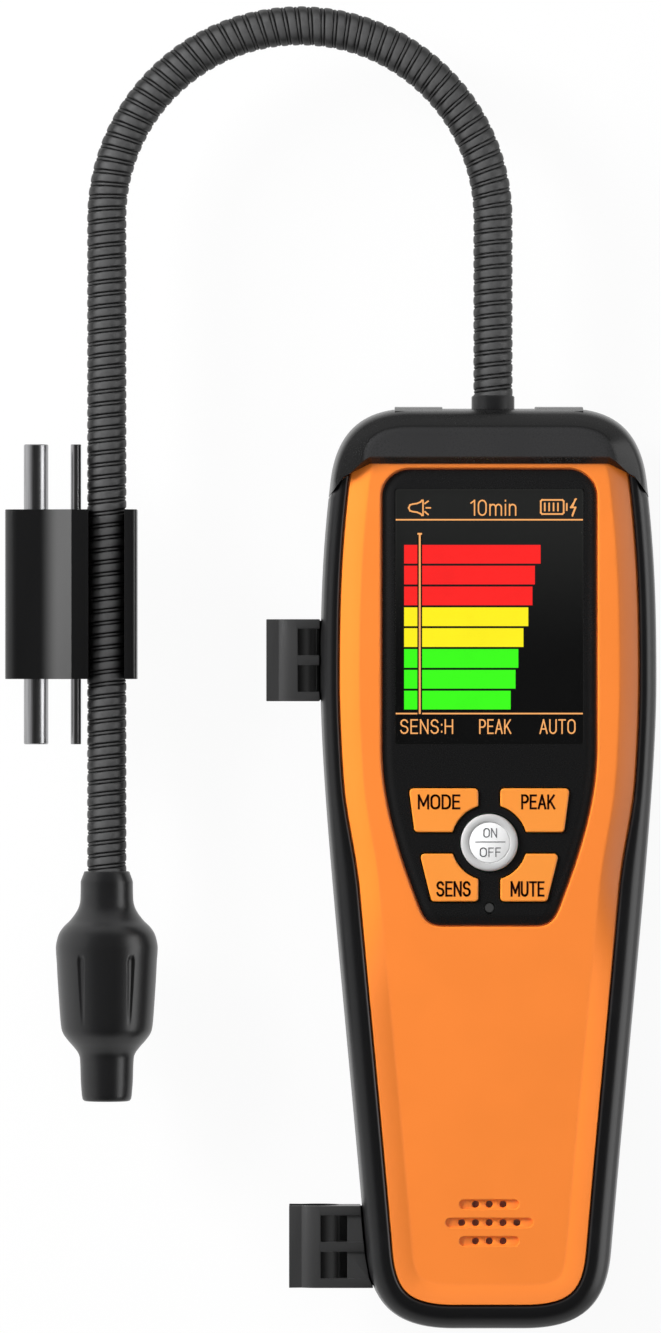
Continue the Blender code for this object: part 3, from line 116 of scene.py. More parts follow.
KEY_ROWS = ((0.0184, 0.00846, 0.01825, 0.01697), (0.00357, -0.00728, 0.0158, 0.0131))
KEY_RING = 0.00865
KEY_INNER = 0.0025
KEY_CORNER = 0.0009
POWER_HOLE = 0.0068
LAMP_Y = -0.0087
LAMP_HOLE = 0.0013
SCREEN_Y = 0.0574
SCREEN_SIZE = (0.0426, 0.0579)
BAR_X = -0.01934
BAR_TOP = 0.07369
BAR_PITCH = 0.004732
BAR_HEIGHT = 0.00425
SOUNDER_Y = -0.0802
SLOT_ROW_PITCH = 0.00418
SLOT_WIDTH = 0.0021
SLOT_CORNER = 0.00104
SLOT_DEPTH = 0.0007
HOLE_PITCH = 0.00313
CLIP_RAMP = (0.01525, 0.00795)  # from the neck's middle, where the clip block's ramp starts and ends
CLIP_TONGUE_WIDTH = 0.0181
CLIP_TONGUE_HEIGHT = 0.0024
CLIP_TONGUE_RISE = -0.0020


# Finishes


class Link:
    """A shader socket that can be used in plain arithmetic."""

    def __init__(self, surface, socket):
        self.surface, self.socket = surface, socket

    def math(self, operation, *values):
        sockets = {i: value for i, value in enumerate(values)}
        return self.surface.add("ShaderNodeMath", {"operation": operation}, sockets)

    def __add__(self, other):
        return self.math("ADD", self, other)

    def __sub__(self, other):
        return self.math("SUBTRACT", self, other)

    def __rsub__(self, other):
        return self.math("SUBTRACT", other, self)

    def __mul__(self, other):
        return self.math("MULTIPLY", self, other)

    def __truediv__(self, other):
        return self.math("DIVIDE", self, other)

    def __rtruediv__(self, other):
        return self.math("DIVIDE", other, self)

    def __neg__(self):
        return self.math("MULTIPLY", self, -1.0)

    def most(self, other):
        return self.math("MAXIMUM", self, other)

    __radd__ = __add__
    __rmul__ = __mul__

    def between(self, low, high):
        """0 below low and 1 above high, smoothly."""
        settings = {"interpolation_type": "SMOOTHSTEP"}
        sockets = {"Value": self, "From Min": low, "From Max": high}
        return self.surface.add("ShaderNodeMapRange", settings, sockets)


class Shading:
    """A shader tree whose nodes all come from one method."""

    def __init__(self, tree):
        self.nodes = tree.nodes
        self.links = tree.links

    def feed(self, socket, value):
        if isinstance(value, Link):
            self.links.new(value.socket, socket)
        elif socket.type == "RGBA" and len(value) == 3:
            socket.default_value = (*value, 1.0)
        else:
            socket.default_value = value

    def add(self, kind, settings=None, sockets=None, out=0):
        node = self.nodes.new(kind)
        for name, value in (settings or {}).items():
            if name == "stops":
                ramp = node.color_ramp.elements
                while len(ramp) < len(value):
                    ramp.new(1.0)
                for element, (place, colour) in zip(ramp, value):
                    element.position = place
                    element.color = (*colour, 1.0)
            else:
                setattr(node, name, value)
        for name, value in (sockets or {}).items():
            self.feed(node.inputs[name], value)
        return Link(self, node.outputs[out])

    def axis(self, vector, name):
        return self.add("ShaderNodeSeparateXYZ", {}, {"Vector": vector}, out=name)

    def seen(self):
        """1 for rays from the camera, from gloss and through glass."""
        rays = ("Is Camera Ray", "Is Glossy Ray", "Is Transmission Ray")
        first, second, third = (self.add("ShaderNodeLightPath", out=name) for name in rays)
        return first.most(second).most(third)


class Surface(Shading):
    """A material, with its texture places and its finish."""

    def __init__(self, name):
        self.material = bpy.data.materials.new(name)
        self.material.use_nodes = True
        super().__init__(self.material.node_tree)
        self.shader = self.nodes["Principled BSDF"]

    def place(self):
        return self.add("ShaderNodeTexCoord", out="Object")

    def noise(self, size, detail=2.0, vector=None, roughness=0.55):
        """Noise whose grains are about this many metres across."""
        sockets = {
            "Vector": vector or self.place(),
            "Scale": 1 / size,
            "Detail": detail,
            "Roughness": roughness,
        }
        return self.add("ShaderNodeTexNoise", {}, sockets)

    def stretched(self, scale):
        """Object coordinates scaled along each axis."""
        return self.add("ShaderNodeMapping", {}, {"Vector": self.place(), "Scale": scale})

    def blend(self, first, second, factor):
        node = self.nodes.new("ShaderNodeMix")
        node.data_type = "RGBA"
        for name, value in (("A_Color", first), ("B_Color", second), ("Factor_Float", factor)):
            socket = next(s for s in node.inputs if s.identifier == name)
            self.feed(socket, value)
        return Link(self, next(s for s in node.outputs if s.identifier == "Result_Color"))

    def bump(self, height, depth, strength=1.0, normal=None):
        sockets = {"Strength": strength, "Distance": depth, "Height": height}
        if normal is not None:
            sockets["Normal"] = normal
        return self.add("ShaderNodeBump", {}, sockets)

    def finish(self, **sockets):
        for name, value in sockets.items():
            self.feed(self.shader.inputs[name.replace("_", " ")], value)
        return self.material


def tinted(colour, factor):
    return tuple(c * factor for c in colour)


def moulded(name, colour, roughness, grain=0.0004, depth=0.00001, mottle=0.08, specular=0.5, painted_light_ramp=None):
    """Moulded plastic: a fine spark-eroded grain, slow random changes of colour and a slightly uneven sheen.

    The last argument paints light or shade: it is (axis, start, end, colour); the colour changes to
    the second one along that axis, and back at once past an optional fifth value.
    """
    s = Surface(name)
    fine = s.noise(grain, 3.0)
    broad = s.noise(0.018, 2.0).between(0.3, 0.7)
    base = s.blend(colour, tinted(colour, 1 - mottle), broad)
    # Painted light or shade along one axis, where it is asked for.
    if painted_light_ramp:
        axis, start, end, other, *stop = painted_light_ramp
        along = s.axis(s.place(), axis)
        share = along.between(start, end)
        if stop:
            share = share * along.math("LESS_THAN", along, stop[0])
        base = s.blend(base, other, share)
    sheen = roughness + (fine - 0.5) * 0.12 + (broad - 0.5) * 0.03
    return s.finish(
        Base_Color=base,
        Roughness=sheen,
        Normal=s.bump(fine, depth, 0.6),
        Specular_IOR_Level=specular,
    )


def rubber(name, colour, roughness=0.55, specular=0.4):
    """Soft moulded rubber: matt, with faint dust in its pores."""
    s = Surface(name)
    pores = s.noise(0.00025, 4.0)
    dust = s.noise(0.009, 3.0).between(0.52, 0.8)
    base = s.blend(colour, tinted(colour, 1.7), dust * pores)
    return s.finish(
        Base_Color=base,
        Roughness=roughness + (pores - 0.5) * 0.15,
        Normal=s.bump(pores, 0.000015, 0.5),
        Specular_IOR_Level=specular,
    )


def polished_bar(name, colour, roughness=0.16):
    """Drawn bar: fine rings left by polishing and faint lengthwise lines."""
    s = Surface(name)
    rings = s.noise(1.0, 2.0, s.stretched((90.0, 5200.0, 90.0)))
    lines = s.noise(1.0, 2.0, s.stretched((4200.0, 60.0, 4200.0)))
    return s.finish(
        Base_Color=s.blend(colour, tinted(colour, 0.7), lines.between(0.35, 0.75)),
        Metallic=1.0,
        Roughness=roughness + (rings - 0.5) * 0.10,
        Normal=s.bump(rings, 0.000004, 0.5),
    )


def plated(name, colour, roughness=0.3):
    """Plated metal with fine random scratches."""
    s = Surface(name)
    fine = s.noise(0.0006, 4.0)
    return s.finish(
        Base_Color=s.blend(colour, tinted(colour, 0.75), fine.between(0.4, 0.8)),
        Metallic=1.0,
        Roughness=roughness + (fine - 0.5) * 0.2,
        Normal=s.bump(fine, 0.000006, 0.4),
    )


def glowing(name, colour, strength=1.0):
    """A lit part of the screen: faint pixel rows over an even glow."""
    s = Surface(name)
    rows = s.noise(0.00022, 1.0)
    return s.finish(
        Base_Color=(0.0, 0.0, 0.0),
        Emission_Color=s.blend(colour, tinted(colour, 0.94), rows.between(0.4, 0.7)),
        Emission_Strength=strength,
        Roughness=0.5,
    )


def strip_wound(name, colour):
    """Strip-wound neck: satin bands painted lighter on the front and darker at the sides, with painted shade
    and a duller finish in the grooves.
    """
    s = Surface(name)
    groove = s.add("ShaderNodeAttribute", {"attribute_name": "groove"}, out="Fac").between(0.25, 0.85)
    fine = s.noise(0.0003, 3.0)
    drawn = s.noise(0.0016, 3.0)
    # Painted light: the bands are lighter where they face the front and darker towards the sides.
    painted_front_light = s.axis(s.add("ShaderNodeTexCoord", out="Normal"), "Z").between(0.66, 0.96)
    band = s.blend(tinted(colour, 0.08), colour, painted_front_light)
    band = s.blend(band, tinted(colour, 0.55), drawn.between(0.40, 0.80) * 0.5)
    return s.finish(
        # Painted shade in the grooves, which are also rougher.
        Base_Color=s.blend(band, tinted(colour, 0.03), groove),
        Roughness=0.42 + (fine - 0.5) * 0.16 + groove * 0.35,
        Normal=s.bump(fine, 0.000008, 0.5),
        Specular_IOR_Level=0.35,
    )


def felted(name, colour):
    s = Surface(name)
    fibres = s.noise(0.00018, 5.0, roughness=0.75)
    return s.finish(
        Base_Color=s.blend(colour, tinted(colour, 0.6), fibres.between(0.35, 0.7)),
        Roughness=0.95,
        Normal=s.bump(fibres, 0.00008, 0.8),
    )


def circuit_board(name, colour):
    """Lacquered board with faint tracks under the lacquer."""
    s = Surface(name)
    tracks = s.add(
        "ShaderNodeTexVoronoi",
        {"distance": "CHEBYCHEV"},
        {"Vector": s.place(), "Scale": 420.0},
        out="Distance",
    )
    lines = tracks.between(0.42, 0.5)
    return s.finish(
        Base_Color=s.blend(colour, tinted(colour, 2.2), lines),
        Roughness=0.35 + lines * 0.1,
        Normal=s.bump(lines, 0.00003, 0.5),
        Coat_Weight=0.4,
    )


def window_pane(name):
    """The clear window over the screen, with faint smears in its gloss."""
    s = Surface(name)
    smear = s.noise(0.012, 3.0)
    return s.finish(
        Base_Color=(0.004, 0.004, 0.005),
        Roughness=0.06 + smear.between(0.4, 0.8) * 0.08,
        Alpha=0.10 + smear.between(0.5, 0.8) * 0.02,
        Specular_IOR_Level=0.5,
    )


def lit_display(name, colour):
    """Dark display glass with a faint glow, painted brighter towards the top: a painted reflection."""
    s = Surface(name)
    # Painted reflection: the glow grows brighter towards the top of the display.
    painted_top_light = s.axis(s.place(), "Y").between(SCREEN_Y - 0.012, SCREEN_Y + 0.028)
    grain = s.noise(0.0002, 1.0)
    glow = s.blend(tinted(colour, 0.15), colour, painted_top_light)
    return s.finish(
        Base_Color=(0.002, 0.002, 0.002),
        Emission_Color=glow,
        Emission_Strength=1.0,
        Roughness=0.2 + grain * 0.05,
    )


def face_centre(node):
    """The middle of a solid's box, seen from the front."""
    low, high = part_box(node)
    return (low.x + high.x) / 2, (low.y + high.y) / 2


# Outlines, as on the solids


def ease(value, start, end):
    share = min(max((value - start) / (end - start), 0.0), 1.0)
    return share * share * (3 - 2 * share)


def mix(low, high, share):
    return low + (high - low) * share


def at(value, y):
    return value(y) if callable(value) else value


def run(stretches, fineness=4):
    """Points along Bezier stretches, given as (start, handle, handle, end, steps), without the last one."""
    points = []
    for start, out, back, end, steps in stretches:
        flat = [Vector((*p, 0)) for p in (start, out, back, end)]
        points += [p.xy for p in interpolate_bezier(*flat, steps * fineness + 1)[:-1]]
    return points


def mirrored(half):
    return half + [Vector((-p.x, p.y)) for p in reversed(half)]


def offset(outline, distance):
    """The outline moved outwards; the distance may be a function of y."""
    moved = []
    for i, point in enumerate(outline):
        before, after = outline[i - 1], outline[(i + 1) % len(outline)]
        first, second = (point - before).normalized(), (after - point).normalized()
        along = (first + second).normalized()
        across = Vector((-along.y, along.x))
        moved.append(point + across * at(distance, point.y) / max(along.dot(first), 0.5))
    return moved


def housing_outline():
    """Half of it from the top end's flat over crown, shoulder and grip to the foot, then its mirror."""
    flat, crown = Vector((0.0181, TOP)), Vector((0.03605, TOP - CROWN_DROP))
    shoulder, grip = Vector((0.03835, TOP - 0.0619)), Vector((0.0280, END + GRIP_RISE))
    foot = Vector((0.0080, END))
    out, lean = Vector((-0.12, 1)), Vector((0.085, 1))
    full, side = 0.63, 0.36
    upper = (crown.y - shoulder.y) * side
    fall = shoulder.y - grip.y
    half = run(
        (
            (flat, flat + Vector(((crown.x - flat.x) * full, 0)), crown + out * CROWN_DROP * full, crown, 6),
            (crown, crown - out * upper, shoulder + Vector((0, upper)), shoulder, 3),
            (
                shoulder,
                shoulder - Vector((0, fall * side * side * 1.5)),
                grip + lean * fall * (1 - side) * side * 2,
                grip,
                6,
            ),
            (
                grip,
                grip - lean * GRIP_RISE * full * 1.15,
                foot + Vector(((grip.x - foot.x) * full, 0)),
                foot,
                6,
            ),
        )
    )
    return mirrored(half + [foot])


def rim_inset(y):
    """The soft rim's width, beside the screen and along the grip."""
    return mix(*RIM_WIDTHS, ease(y, *RIM_CHANGE))


def edge_z(y):
    """Height of the shell's edge: below the face beside the screen, above it along the grip."""
    return FACE_Z - FACET_DROP + EDGE_RISE * ease(y, *FACET_CHANGE)


def back_edge(y):
    """Rounding of the back edge, beside the screen and along the grip."""
    return mix(*BACK_EDGES, ease(y, *RIM_CHANGE))


def fascia_outline():
    side, corner = Vector((0.0243, 0.0847)), Vector((0.0178, 0.0908))
    bend, foot = Vector((0.0243, 0.0275)), Vector((0.0159, -0.0083))
    end, lean = Vector((0.01062, -0.0127)), Vector((0.38, 1))
    fall, foot_rise, foot_reach = 0.0358, 0.0044, 0.00528
    half = run(
        (
            (corner, corner + Vector((0.0036, 0)), side + Vector((0, 0.0034)), side, 4),
            (side, side, bend, bend, 1),
            (bend, bend - Vector((0, fall * 0.38)), foot + lean * fall * 0.24, foot, 4),
            (foot, foot - lean * foot_rise * 0.6, end + Vector((foot_reach * 0.6, 0)), end, 3),
        )
    )
    return mirrored(half + [end])


def rounded(corners, steps=5):
    """A closed outline from (x, y, radius) corners; radius 0 keeps the point."""
    points = []
    for i, (x, y, radius) in enumerate(corners):
        here = Vector((x, y))
        if radius == 0:
            points.append(here)
            continue
        before = (Vector(corners[i - 1][:2]) - here).normalized()
        after = (Vector(corners[(i + 1) % len(corners)][:2]) - here).normalized()
        half_angle = before.angle(after) / 2
        reach = radius / math.tan(half_angle)
        middle = here + (before + after).normalized() * radius / math.sin(half_angle)
        start = here + before * reach - middle
        sweep = (here + after * reach - middle).angle_signed(start)
        points += [middle + Matrix.Rotation(sweep * k / steps, 2) @ start for k in range(steps + 1)]
    return points


def rectangle(width, height, radius=0.0, x=0.0, y=0.0):
    signs = ((1, 1), (1, -1), (-1, -1), (-1, 1))
    return rounded([(x + sx * width / 2, y + sy * height / 2, radius) for sx, sy in signs])


def circle(radius, x=0.0, y=0.0, sides=48):
    turns = [-math.tau * k / sides for k in range(sides)]
    return [Vector((x + radius * math.cos(t), y + radius * math.sin(t))) for t in turns]


def key_outline(side, row):
    """A key's outline, clockwise: three straight sides and an arc about the power key."""
    top, bottom, outer_top, outer_bottom = KEY_ROWS[row]
    near = top if row else bottom
    reach = math.sqrt(KEY_RING**2 - (near - POWER_Y) ** 2)
    rise = math.sqrt(KEY_RING**2 - KEY_INNER**2)
    first = math.atan2(near - POWER_Y, reach)
    last = math.atan2(-rise if row else rise, KEY_INNER)
    steps = 14
    arc = []
    for k in range(steps + 1):
        turn = mix(first, last, k / steps)
        soft = KEY_CORNER * 0.45 if k in (0, steps) else 0
        if k in (1, steps - 1):
            continue
        arc.append((KEY_RING * math.cos(turn), POWER_Y + KEY_RING * math.sin(turn), soft))
    low, high = (outer_bottom, bottom, KEY_CORNER), (outer_top, top, KEY_CORNER)
    if row:
        corners = [low, high, *arc, (KEY_INNER, bottom, KEY_CORNER)]
    else:
        corners = [high, low, *arc, (KEY_INNER, top, KEY_CORNER)]
    outline = rounded([(side * x, y, radius) for x, y, radius in corners])
    area = sum(a.cross(b) for a, b in zip(outline, outline[1:] + outline[:1]))
    return outline if area < 0 else outline[::-1]


# Making meshes


def linked(name, data):
    made = bpy.data.objects.new(name, data)
    bpy.context.scene.collection.objects.link(made)
    return made


def shaded(mesh, angle):
    """Smooth faces, with sharp edges from this angle on, in degrees."""
    mesh.shade_smooth()
    mesh.set_sharp_from_angle(angle=math.radians(angle))
    return mesh


def evaluated(piece, angle):
    """A plain mesh of a piece as its modifiers leave it."""
    bpy.context.view_layer.update()
    graph = bpy.context.evaluated_depsgraph_get()
    return shaded(bpy.data.meshes.new_from_object(piece.evaluated_get(graph)), angle)


def new_piece(name, bm, material, angle=34):
    bmesh.ops.recalc_face_normals(bm, faces=bm.faces)
    mesh = bpy.data.meshes.new(name)
    bm.to_mesh(mesh)
    bm.free()
    mesh.materials.append(material)
    return linked(name, shaded(mesh, angle))


def settle(piece, body, slot, *nodes):
    """Gives a finished piece its CAD body and hides the solids that it stands for; the slot for its finish
    is not used.
    """
    if nodes:
        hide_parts(*nodes)
    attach(piece, body)
    return piece


def applied(piece, angle=34):
    """Turns a piece's modifiers into its own mesh."""
    mesh = evaluated(piece, angle)
    piece.modifiers.clear()
    piece.data = mesh
    return piece


def carve(piece, operation, *tools, angle=34):
    """Joins or cuts a piece with other meshes, which are used up."""
    for tool in tools:
        change = piece.modifiers.new("shape", "BOOLEAN")
        change.operation, change.object, change.solver = operation, tool, "EXACT"
    applied(piece, angle)
    for tool in tools:
        bpy.data.objects.remove(tool)
    return piece


def ring_of(bm, outline, z):
    return [bm.verts.new((p[0], p[1], at(z, p[1]))) for p in outline]


def skin(bm, low, high):
    for i in range(len(low)):
        j = (i + 1) % len(low)
        bm.faces.new((low[i], low[j], high[j], high[i]))


def stack(bm, outline, levels):
    """Rings of one outline at (outward offset, z) levels, skinned; gives the first and the last ring."""
    rings = [ring_of(bm, offset(outline, grow), z) for grow, z in levels]
    for low, high in zip(rings, rings[1:]):
        skin(bm, low, high)
    return rings[0], rings[-1]


def flat_fill(bm, *loops):
    """Fills the flat area between closed loops."""
    edges = []
    for loop in loops:
        for a, b in zip(loop, loop[1:] + loop[:1]):
            edges.append(bm.edges.get((a, b)) or bm.edges.new((a, b)))
    bmesh.ops.triangle_fill(bm, use_beauty=True, use_dissolve=False, edges=edges, normal=(0, 0, 1))


def block(name, outline, levels, material, angle=34):
    """A solid from one outline at (outward offset, z) levels, filled at both ends."""
    bm = bmesh.new()
    low, high = stack(bm, outline, levels)
    flat_fill(bm, low)
    flat_fill(bm, high)
    return new_piece(name, bm, material, angle)


def loft(name, rings, material, closed=False, angle=34):
    """Skins rings of points; the end rings are capped, or joined to each other when closed."""
    bm = bmesh.new()
    rows = [[bm.verts.new(p) for p in ring] for ring in rings]
    for low, high in zip(rows, rows[1:]):
        skin(bm, low, high)
    if closed:
        skin(bm, rows[-1], rows[0])
    else:
        bm.faces.new(rows[0])
        bm.faces.new(rows[-1])
    return new_piece(name, bm, material, angle)


def housing_rings(levels):
    """Rings of the housing's outline, one for each (inset, height)."""
    outline = housing_outline()
    return [
        [(p.x, p.y, at(height, p.y)) for p in offset(outline, lambda y, inset=inset: -at(inset, y))]
        for inset, height in levels
    ]


def rim(more=0.0, share=1.0):
    """An inset tied to the soft rim's width."""
    return lambda y: rim_inset(y) * share + more


def edge(more):
    """A height tied to the shell's edge."""
    return lambda y: edge_z(y) + more


def cylinder(name, radius, start, end, material, sides=32):
    start, end = Vector(start), Vector(end)
    bm = bmesh.new()
    length = (end - start).length
    bmesh.ops.create_cone(bm, cap_ends=True, segments=sides, radius1=radius, radius2=radius, depth=length)
    turn = (end - start).to_track_quat("Z", "Y").to_matrix().to_4x4()
    bmesh.ops.transform(bm, verts=bm.verts, matrix=Matrix.Translation((start + end) / 2) @ turn)
    return new_piece(name, bm, material)


def cuboid(name, low, high, material):
    low, high = Vector(low), Vector(high)
    bm = bmesh.new()
    bmesh.ops.create_cube(bm, size=1)
    bmesh.ops.transform(
        bm, verts=bm.verts, matrix=Matrix.Translation((low + high) / 2) @ Matrix.Diagonal((*(high - low), 1))
    )
    return new_piece(name, bm, material)


def lathe(name, profile, place, direction, material, sides=96, shape=None, angle=34):
    """Turns (radius, distance) points about an axis. shape may change a point's radius by its turn."""
    turn = Vector(direction).to_track_quat("Z", "Y").to_matrix().to_4x4()
    matrix = Matrix.Translation(place) @ turn
    bm = bmesh.new()
    rows = []
    for radius, distance in profile:
        if radius == 0:
            rows.append([bm.verts.new(matrix @ Vector((0, 0, distance)))])
            continue
        row = []
        for k in range(sides):
            t = math.tau * k / sides
            r = shape(radius, distance, t) if shape else radius
            row.append(bm.verts.new(matrix @ Vector((r * math.cos(t), r * math.sin(t), distance))))
        rows.append(row)
    for low, high in zip(rows, rows[1:]):
        if len(low) == len(high) == 1:
            continue
        for i in range(sides):
            j = (i + 1) % sides
            corners = [low[i % len(low)], low[j % len(low)], high[j % len(high)], high[i % len(high)]]
            bm.faces.new(list(dict.fromkeys(corners)))
    if rows[0] is not rows[-1] and len(rows[0]) > 1:
        skin(bm, rows[-1], rows[0])
    return new_piece(name, bm, material, angle)


def smooth_points(points, steps=6):
    """A Catmull-Rom line through points."""
    ends = [points[0], *points, points[-1]]
    line = []
    for a, b, c, d in zip(ends, ends[1:], ends[2:], ends[3:]):
        for k in range(steps):
            t = k / steps
            weights = (
                (-t + 2 * t**2 - t**3) / 2,
                (2 - 5 * t**2 + 3 * t**3) / 2,
                (t + 4 * t**2 - 3 * t**3) / 2,
                (t**3 - t**2) / 2,
            )
            line.append(tuple(sum(w * p for w, p in zip(weights, values)) for values in zip(a, b, c, d)))
    return line + [points[-1]]


def softened(node, material, body, slot, width=0.0, angle=30, segments=2):
    """A merged copy of a solid with soft edges, which stands for it."""
    bm = bmesh.new()
    bm.from_mesh(frame["nodes"][node].data)
    bmesh.ops.remove_doubles(bm, verts=bm.verts, dist=0.00001)
    bmesh.ops.dissolve_limit(
        bm, angle_limit=math.radians(0.5), use_dissolve_boundaries=False, verts=bm.verts, edges=bm.edges
    )
    piece = new_piece(node + "_surface", bm, material, angle)
    if width:
        bevel = piece.modifiers.new("soft_edges", "BEVEL")
        bevel.width, bevel.segments, bevel.limit_method = width, segments, "ANGLE"
        bevel.angle_limit = math.radians(angle + 8)
        applied(piece, angle)
    return settle(piece, body, slot, node)


def millimetres(paths):
    """Paths of points given in millimetres, in metres."""
    return [[(x * MM, y * MM) for x, y in path] for path in paths]


def bow(x, y, across, up, start, end, steps=8):
    """Points on an ellipse's arc, from one angle to the other in degrees."""
    turns = [math.radians(mix(start, end, k / steps)) for k in range(steps + 1)]
    return [(x + across * math.cos(t), y + up * math.sin(t)) for t in turns]


def ring_path(width):
    half = width / 2
    return [[*bow(half, 0.70, half, 0.30, 0, 180), *bow(half, 0.30, half, 0.30, 180, 360), (width, 0.70)]]


def arch_path(width, shift=0.0):
    """A small letter's arch, from its foot on the right over to its left stem."""
    return [(shift + width, 0), *bow(shift + width / 2, 0.50, width / 2, 0.22, 0, 180)]


# Each character's width and strokes, on a height of 1
GLYPHS = {
    "A": (0.64, [[(0, 0), (0.32, 1), (0.64, 0)], [(0.11, 0.32), (0.53, 0.32)]]),
    "D": (
        0.60,
        [
            [
                (0, 0),
                (0, 1),
                *bow(0.24, 0.64, 0.36, 0.36, 90, 0),
                *bow(0.24, 0.36, 0.36, 0.36, 0, -90),
                (0, 0),
            ]
        ],
    ),
    "E": (0.50, [[(0.50, 1), (0, 1), (0, 0), (0.50, 0)], [(0, 0.52), (0.44, 0.52)]]),
    "F": (0.48, [[(0.48, 1), (0, 1), (0, 0)], [(0, 0.52), (0.42, 0.52)]]),
    "H": (0.58, [[(0, 0), (0, 1)], [(0.58, 0), (0.58, 1)], [(0, 0.52), (0.58, 0.52)]]),
    "K": (0.58, [[(0, 0), (0, 1)], [(0.54, 1), (0, 0.36)], [(0.18, 0.57), (0.58, 0)]]),
    "M": (0.76, [[(0, 0), (0, 1), (0.38, 0.22), (0.76, 1), (0.76, 0)]]),
    "N": (0.58, [[(0, 0), (0, 1), (0.58, 0), (0.58, 1)]]),
    "O": (0.64, ring_path(0.64)),
    "P": (0.54, [[(0, 0), (0, 1), (0.26, 1), *bow(0.26, 0.73, 0.28, 0.27, 90, -90), (0, 0.46)]]),
    "S": (0.56, [[*bow(0.28, 0.76, 0.26, 0.24, 15, 270), *bow(0.28, 0.26, 0.28, 0.26, 90, -165)]]),
    "T": (0.58, [[(0, 1), (0.58, 1)], [(0.29, 1), (0.29, 0)]]),
    "U": (0.58, [[(0, 1), (0, 0.29), *bow(0.29, 0.29, 0.29, 0.29, 180, 360), (0.58, 1)]]),
    "m": (0.78, [[(0, 0), (0, 0.72)], arch_path(0.39), arch_path(0.39, 0.39)]),
    "i": (0.02, [[(0.01, 0), (0.01, 0.72)], [(0.01, 0.96), (0.01, 1.0)]]),
    "n": (0.42, [[(0, 0), (0, 0.72)], arch_path(0.42)]),
    "1": (0.24, [[(0, 0.82), (0.24, 1), (0.24, 0)]]),
    "0": (0.52, ring_path(0.52)),
    ":": (0.04, [[(0.02, 0.10), (0.02, 0.14)], [(0.02, 0.62), (0.02, 0.66)]]),
}
GLYPH_GAP = 0.27


def lettering(name, text, low, high, z, material, weight, thickness=INK):
    """Plain characters fitted to a box in millimetres on a face at z, in strokes as wide as weight."""
    low, high = millimetres([(low, high)])[0]
    total = sum(GLYPHS[c][0] for c in text) + GLYPH_GAP * (len(text) - 1)
    wide, tall = high[0] - low[0] - weight, high[1] - low[1] - weight
    paths, start = [], 0.0
    for c in text:
        width, lines = GLYPHS[c]
        for line in lines:
            paths.append(
                [
                    (low[0] + weight / 2 + (start + x) * wide / total, low[1] + weight / 2 + y * tall)
                    for x, y in line
                ]
            )
        start += width + GLYPH_GAP
    return strokes(name, paths, weight, z, material, thickness)


def strokes(name, paths, width, z, material, thickness=INK):
    """Thin flat lines along open or closed paths of (x, y) points."""
    bm = bmesh.new()
    for path in paths:
        for start, end in zip(path, path[1:]):
            start, end = Vector(start), Vector(end)
            along = (end - start).normalized() * width / 2
            across = Vector((-along.y, along.x))
            corners = [
                start - along + across,
                end + along + across,
                end + along - across,
                start - along - across,
            ]
            low, high = ring_of(bm, corners, z), ring_of(bm, corners, z + thickness)
            skin(bm, low, high)
            bm.faces.new(low)
            bm.faces.new(high)
    return new_piece(name, bm, material)


# Geometry Nodes


class Tree:
    """A Geometry Nodes group with named inputs, made by one method."""

    def __init__(self, name, inputs):
        self.group = bpy.data.node_groups.new(name, "GeometryNodeTree")
        self.group.is_modifier = True
        sides = self.group.interface
        sides.new_socket("Geometry", in_out="INPUT", socket_type="NodeSocketGeometry")
        self.keys = {}
        for label, (kind, value) in inputs.items():
            socket = sides.new_socket(label, in_out="INPUT", socket_type="NodeSocket" + kind)
            if value is not None:
                socket.default_value = value
            self.keys[label] = socket.identifier
        sides.new_socket("Geometry", in_out="OUTPUT", socket_type="NodeSocketGeometry")
        self.source = self.group.nodes.new("NodeGroupInput")
        self.end = self.group.nodes.new("NodeGroupOutput")

    def given(self, label):
        return self.source.outputs[label]

    def add(self, kind, settings=None, sockets=None, out=0):
        node = self.group.nodes.new(kind)
        for name, value in (settings or {}).items():
            setattr(node, name, value)
        for name, value in (sockets or {}).items():
            socket = node.inputs[name]
            if isinstance(value, bpy.types.NodeSocket):
                self.group.links.new(value, socket)
            else:
                socket.default_value = value
        return node if out is None else node.outputs[out]

    def math(self, operation, *values):
        return self.add("ShaderNodeMath", {"operation": operation}, dict(enumerate(values)))

    def vector(self, operation, values, out="Vector"):
        return self.add("ShaderNodeVectorMath", {"operation": operation}, values, out)

    def combined(self, **axes):
        return self.add("ShaderNodeCombineXYZ", {}, axes)

    def moved(self, geometry, translation):
        return self.add("GeometryNodeTransform", {}, {"Geometry": geometry, "Translation": translation})

    def on_points(self, instance, **sockets):
        sockets = {"Points": self.given("Geometry"), "Instance": instance, **sockets}
        return self.add("GeometryNodeInstanceOnPoints", {}, sockets)

    def kept(self, geometry, value, kind="FLOAT"):
        """Captures a value on points; gives the geometry and the kept value."""
        node = self.group.nodes.new("GeometryNodeCaptureAttribute")
        node.domain = "POINT"
        node.capture_items.new("VECTOR" if kind == "VECTOR" else "FLOAT", "Value")
        self.group.links.new(geometry, node.inputs[0])
        self.group.links.new(value, node.inputs[1])
        return node.outputs[0], node.outputs[1]

    def close(self, geometry):
        real = self.add("GeometryNodeRealizeInstances", {}, {0: geometry})
        finish = self.given("Material")
        coated = self.add("GeometryNodeSetMaterial", {}, {"Geometry": real, "Material": finish})
        self.group.links.new(coated, self.end.inputs[0])

    def run(self, piece, angle=34, **values):
        """Runs the tree on a piece and keeps the result as its plain mesh."""
        change = piece.modifiers.new(self.group.name, "NODES")
        change.node_group = self.group
        for label, value in values.items():
            change[self.keys[label.replace("_", " ")]] = value
        mesh, name = evaluated(piece, angle), piece.name
        bpy.data.objects.remove(piece)
        return linked(name, mesh)


def points_piece(name, points, values=None):
    """A mesh of loose points, with a number on each if values are given."""
    mesh = bpy.data.meshes.new(name)
    mesh.from_pydata(points, [], [])
    for label, numbers in (values or {}).items():
        mesh.attributes.new(label, "FLOAT", "POINT").data.foreach_set("value", numbers)
    return linked(name, mesh)


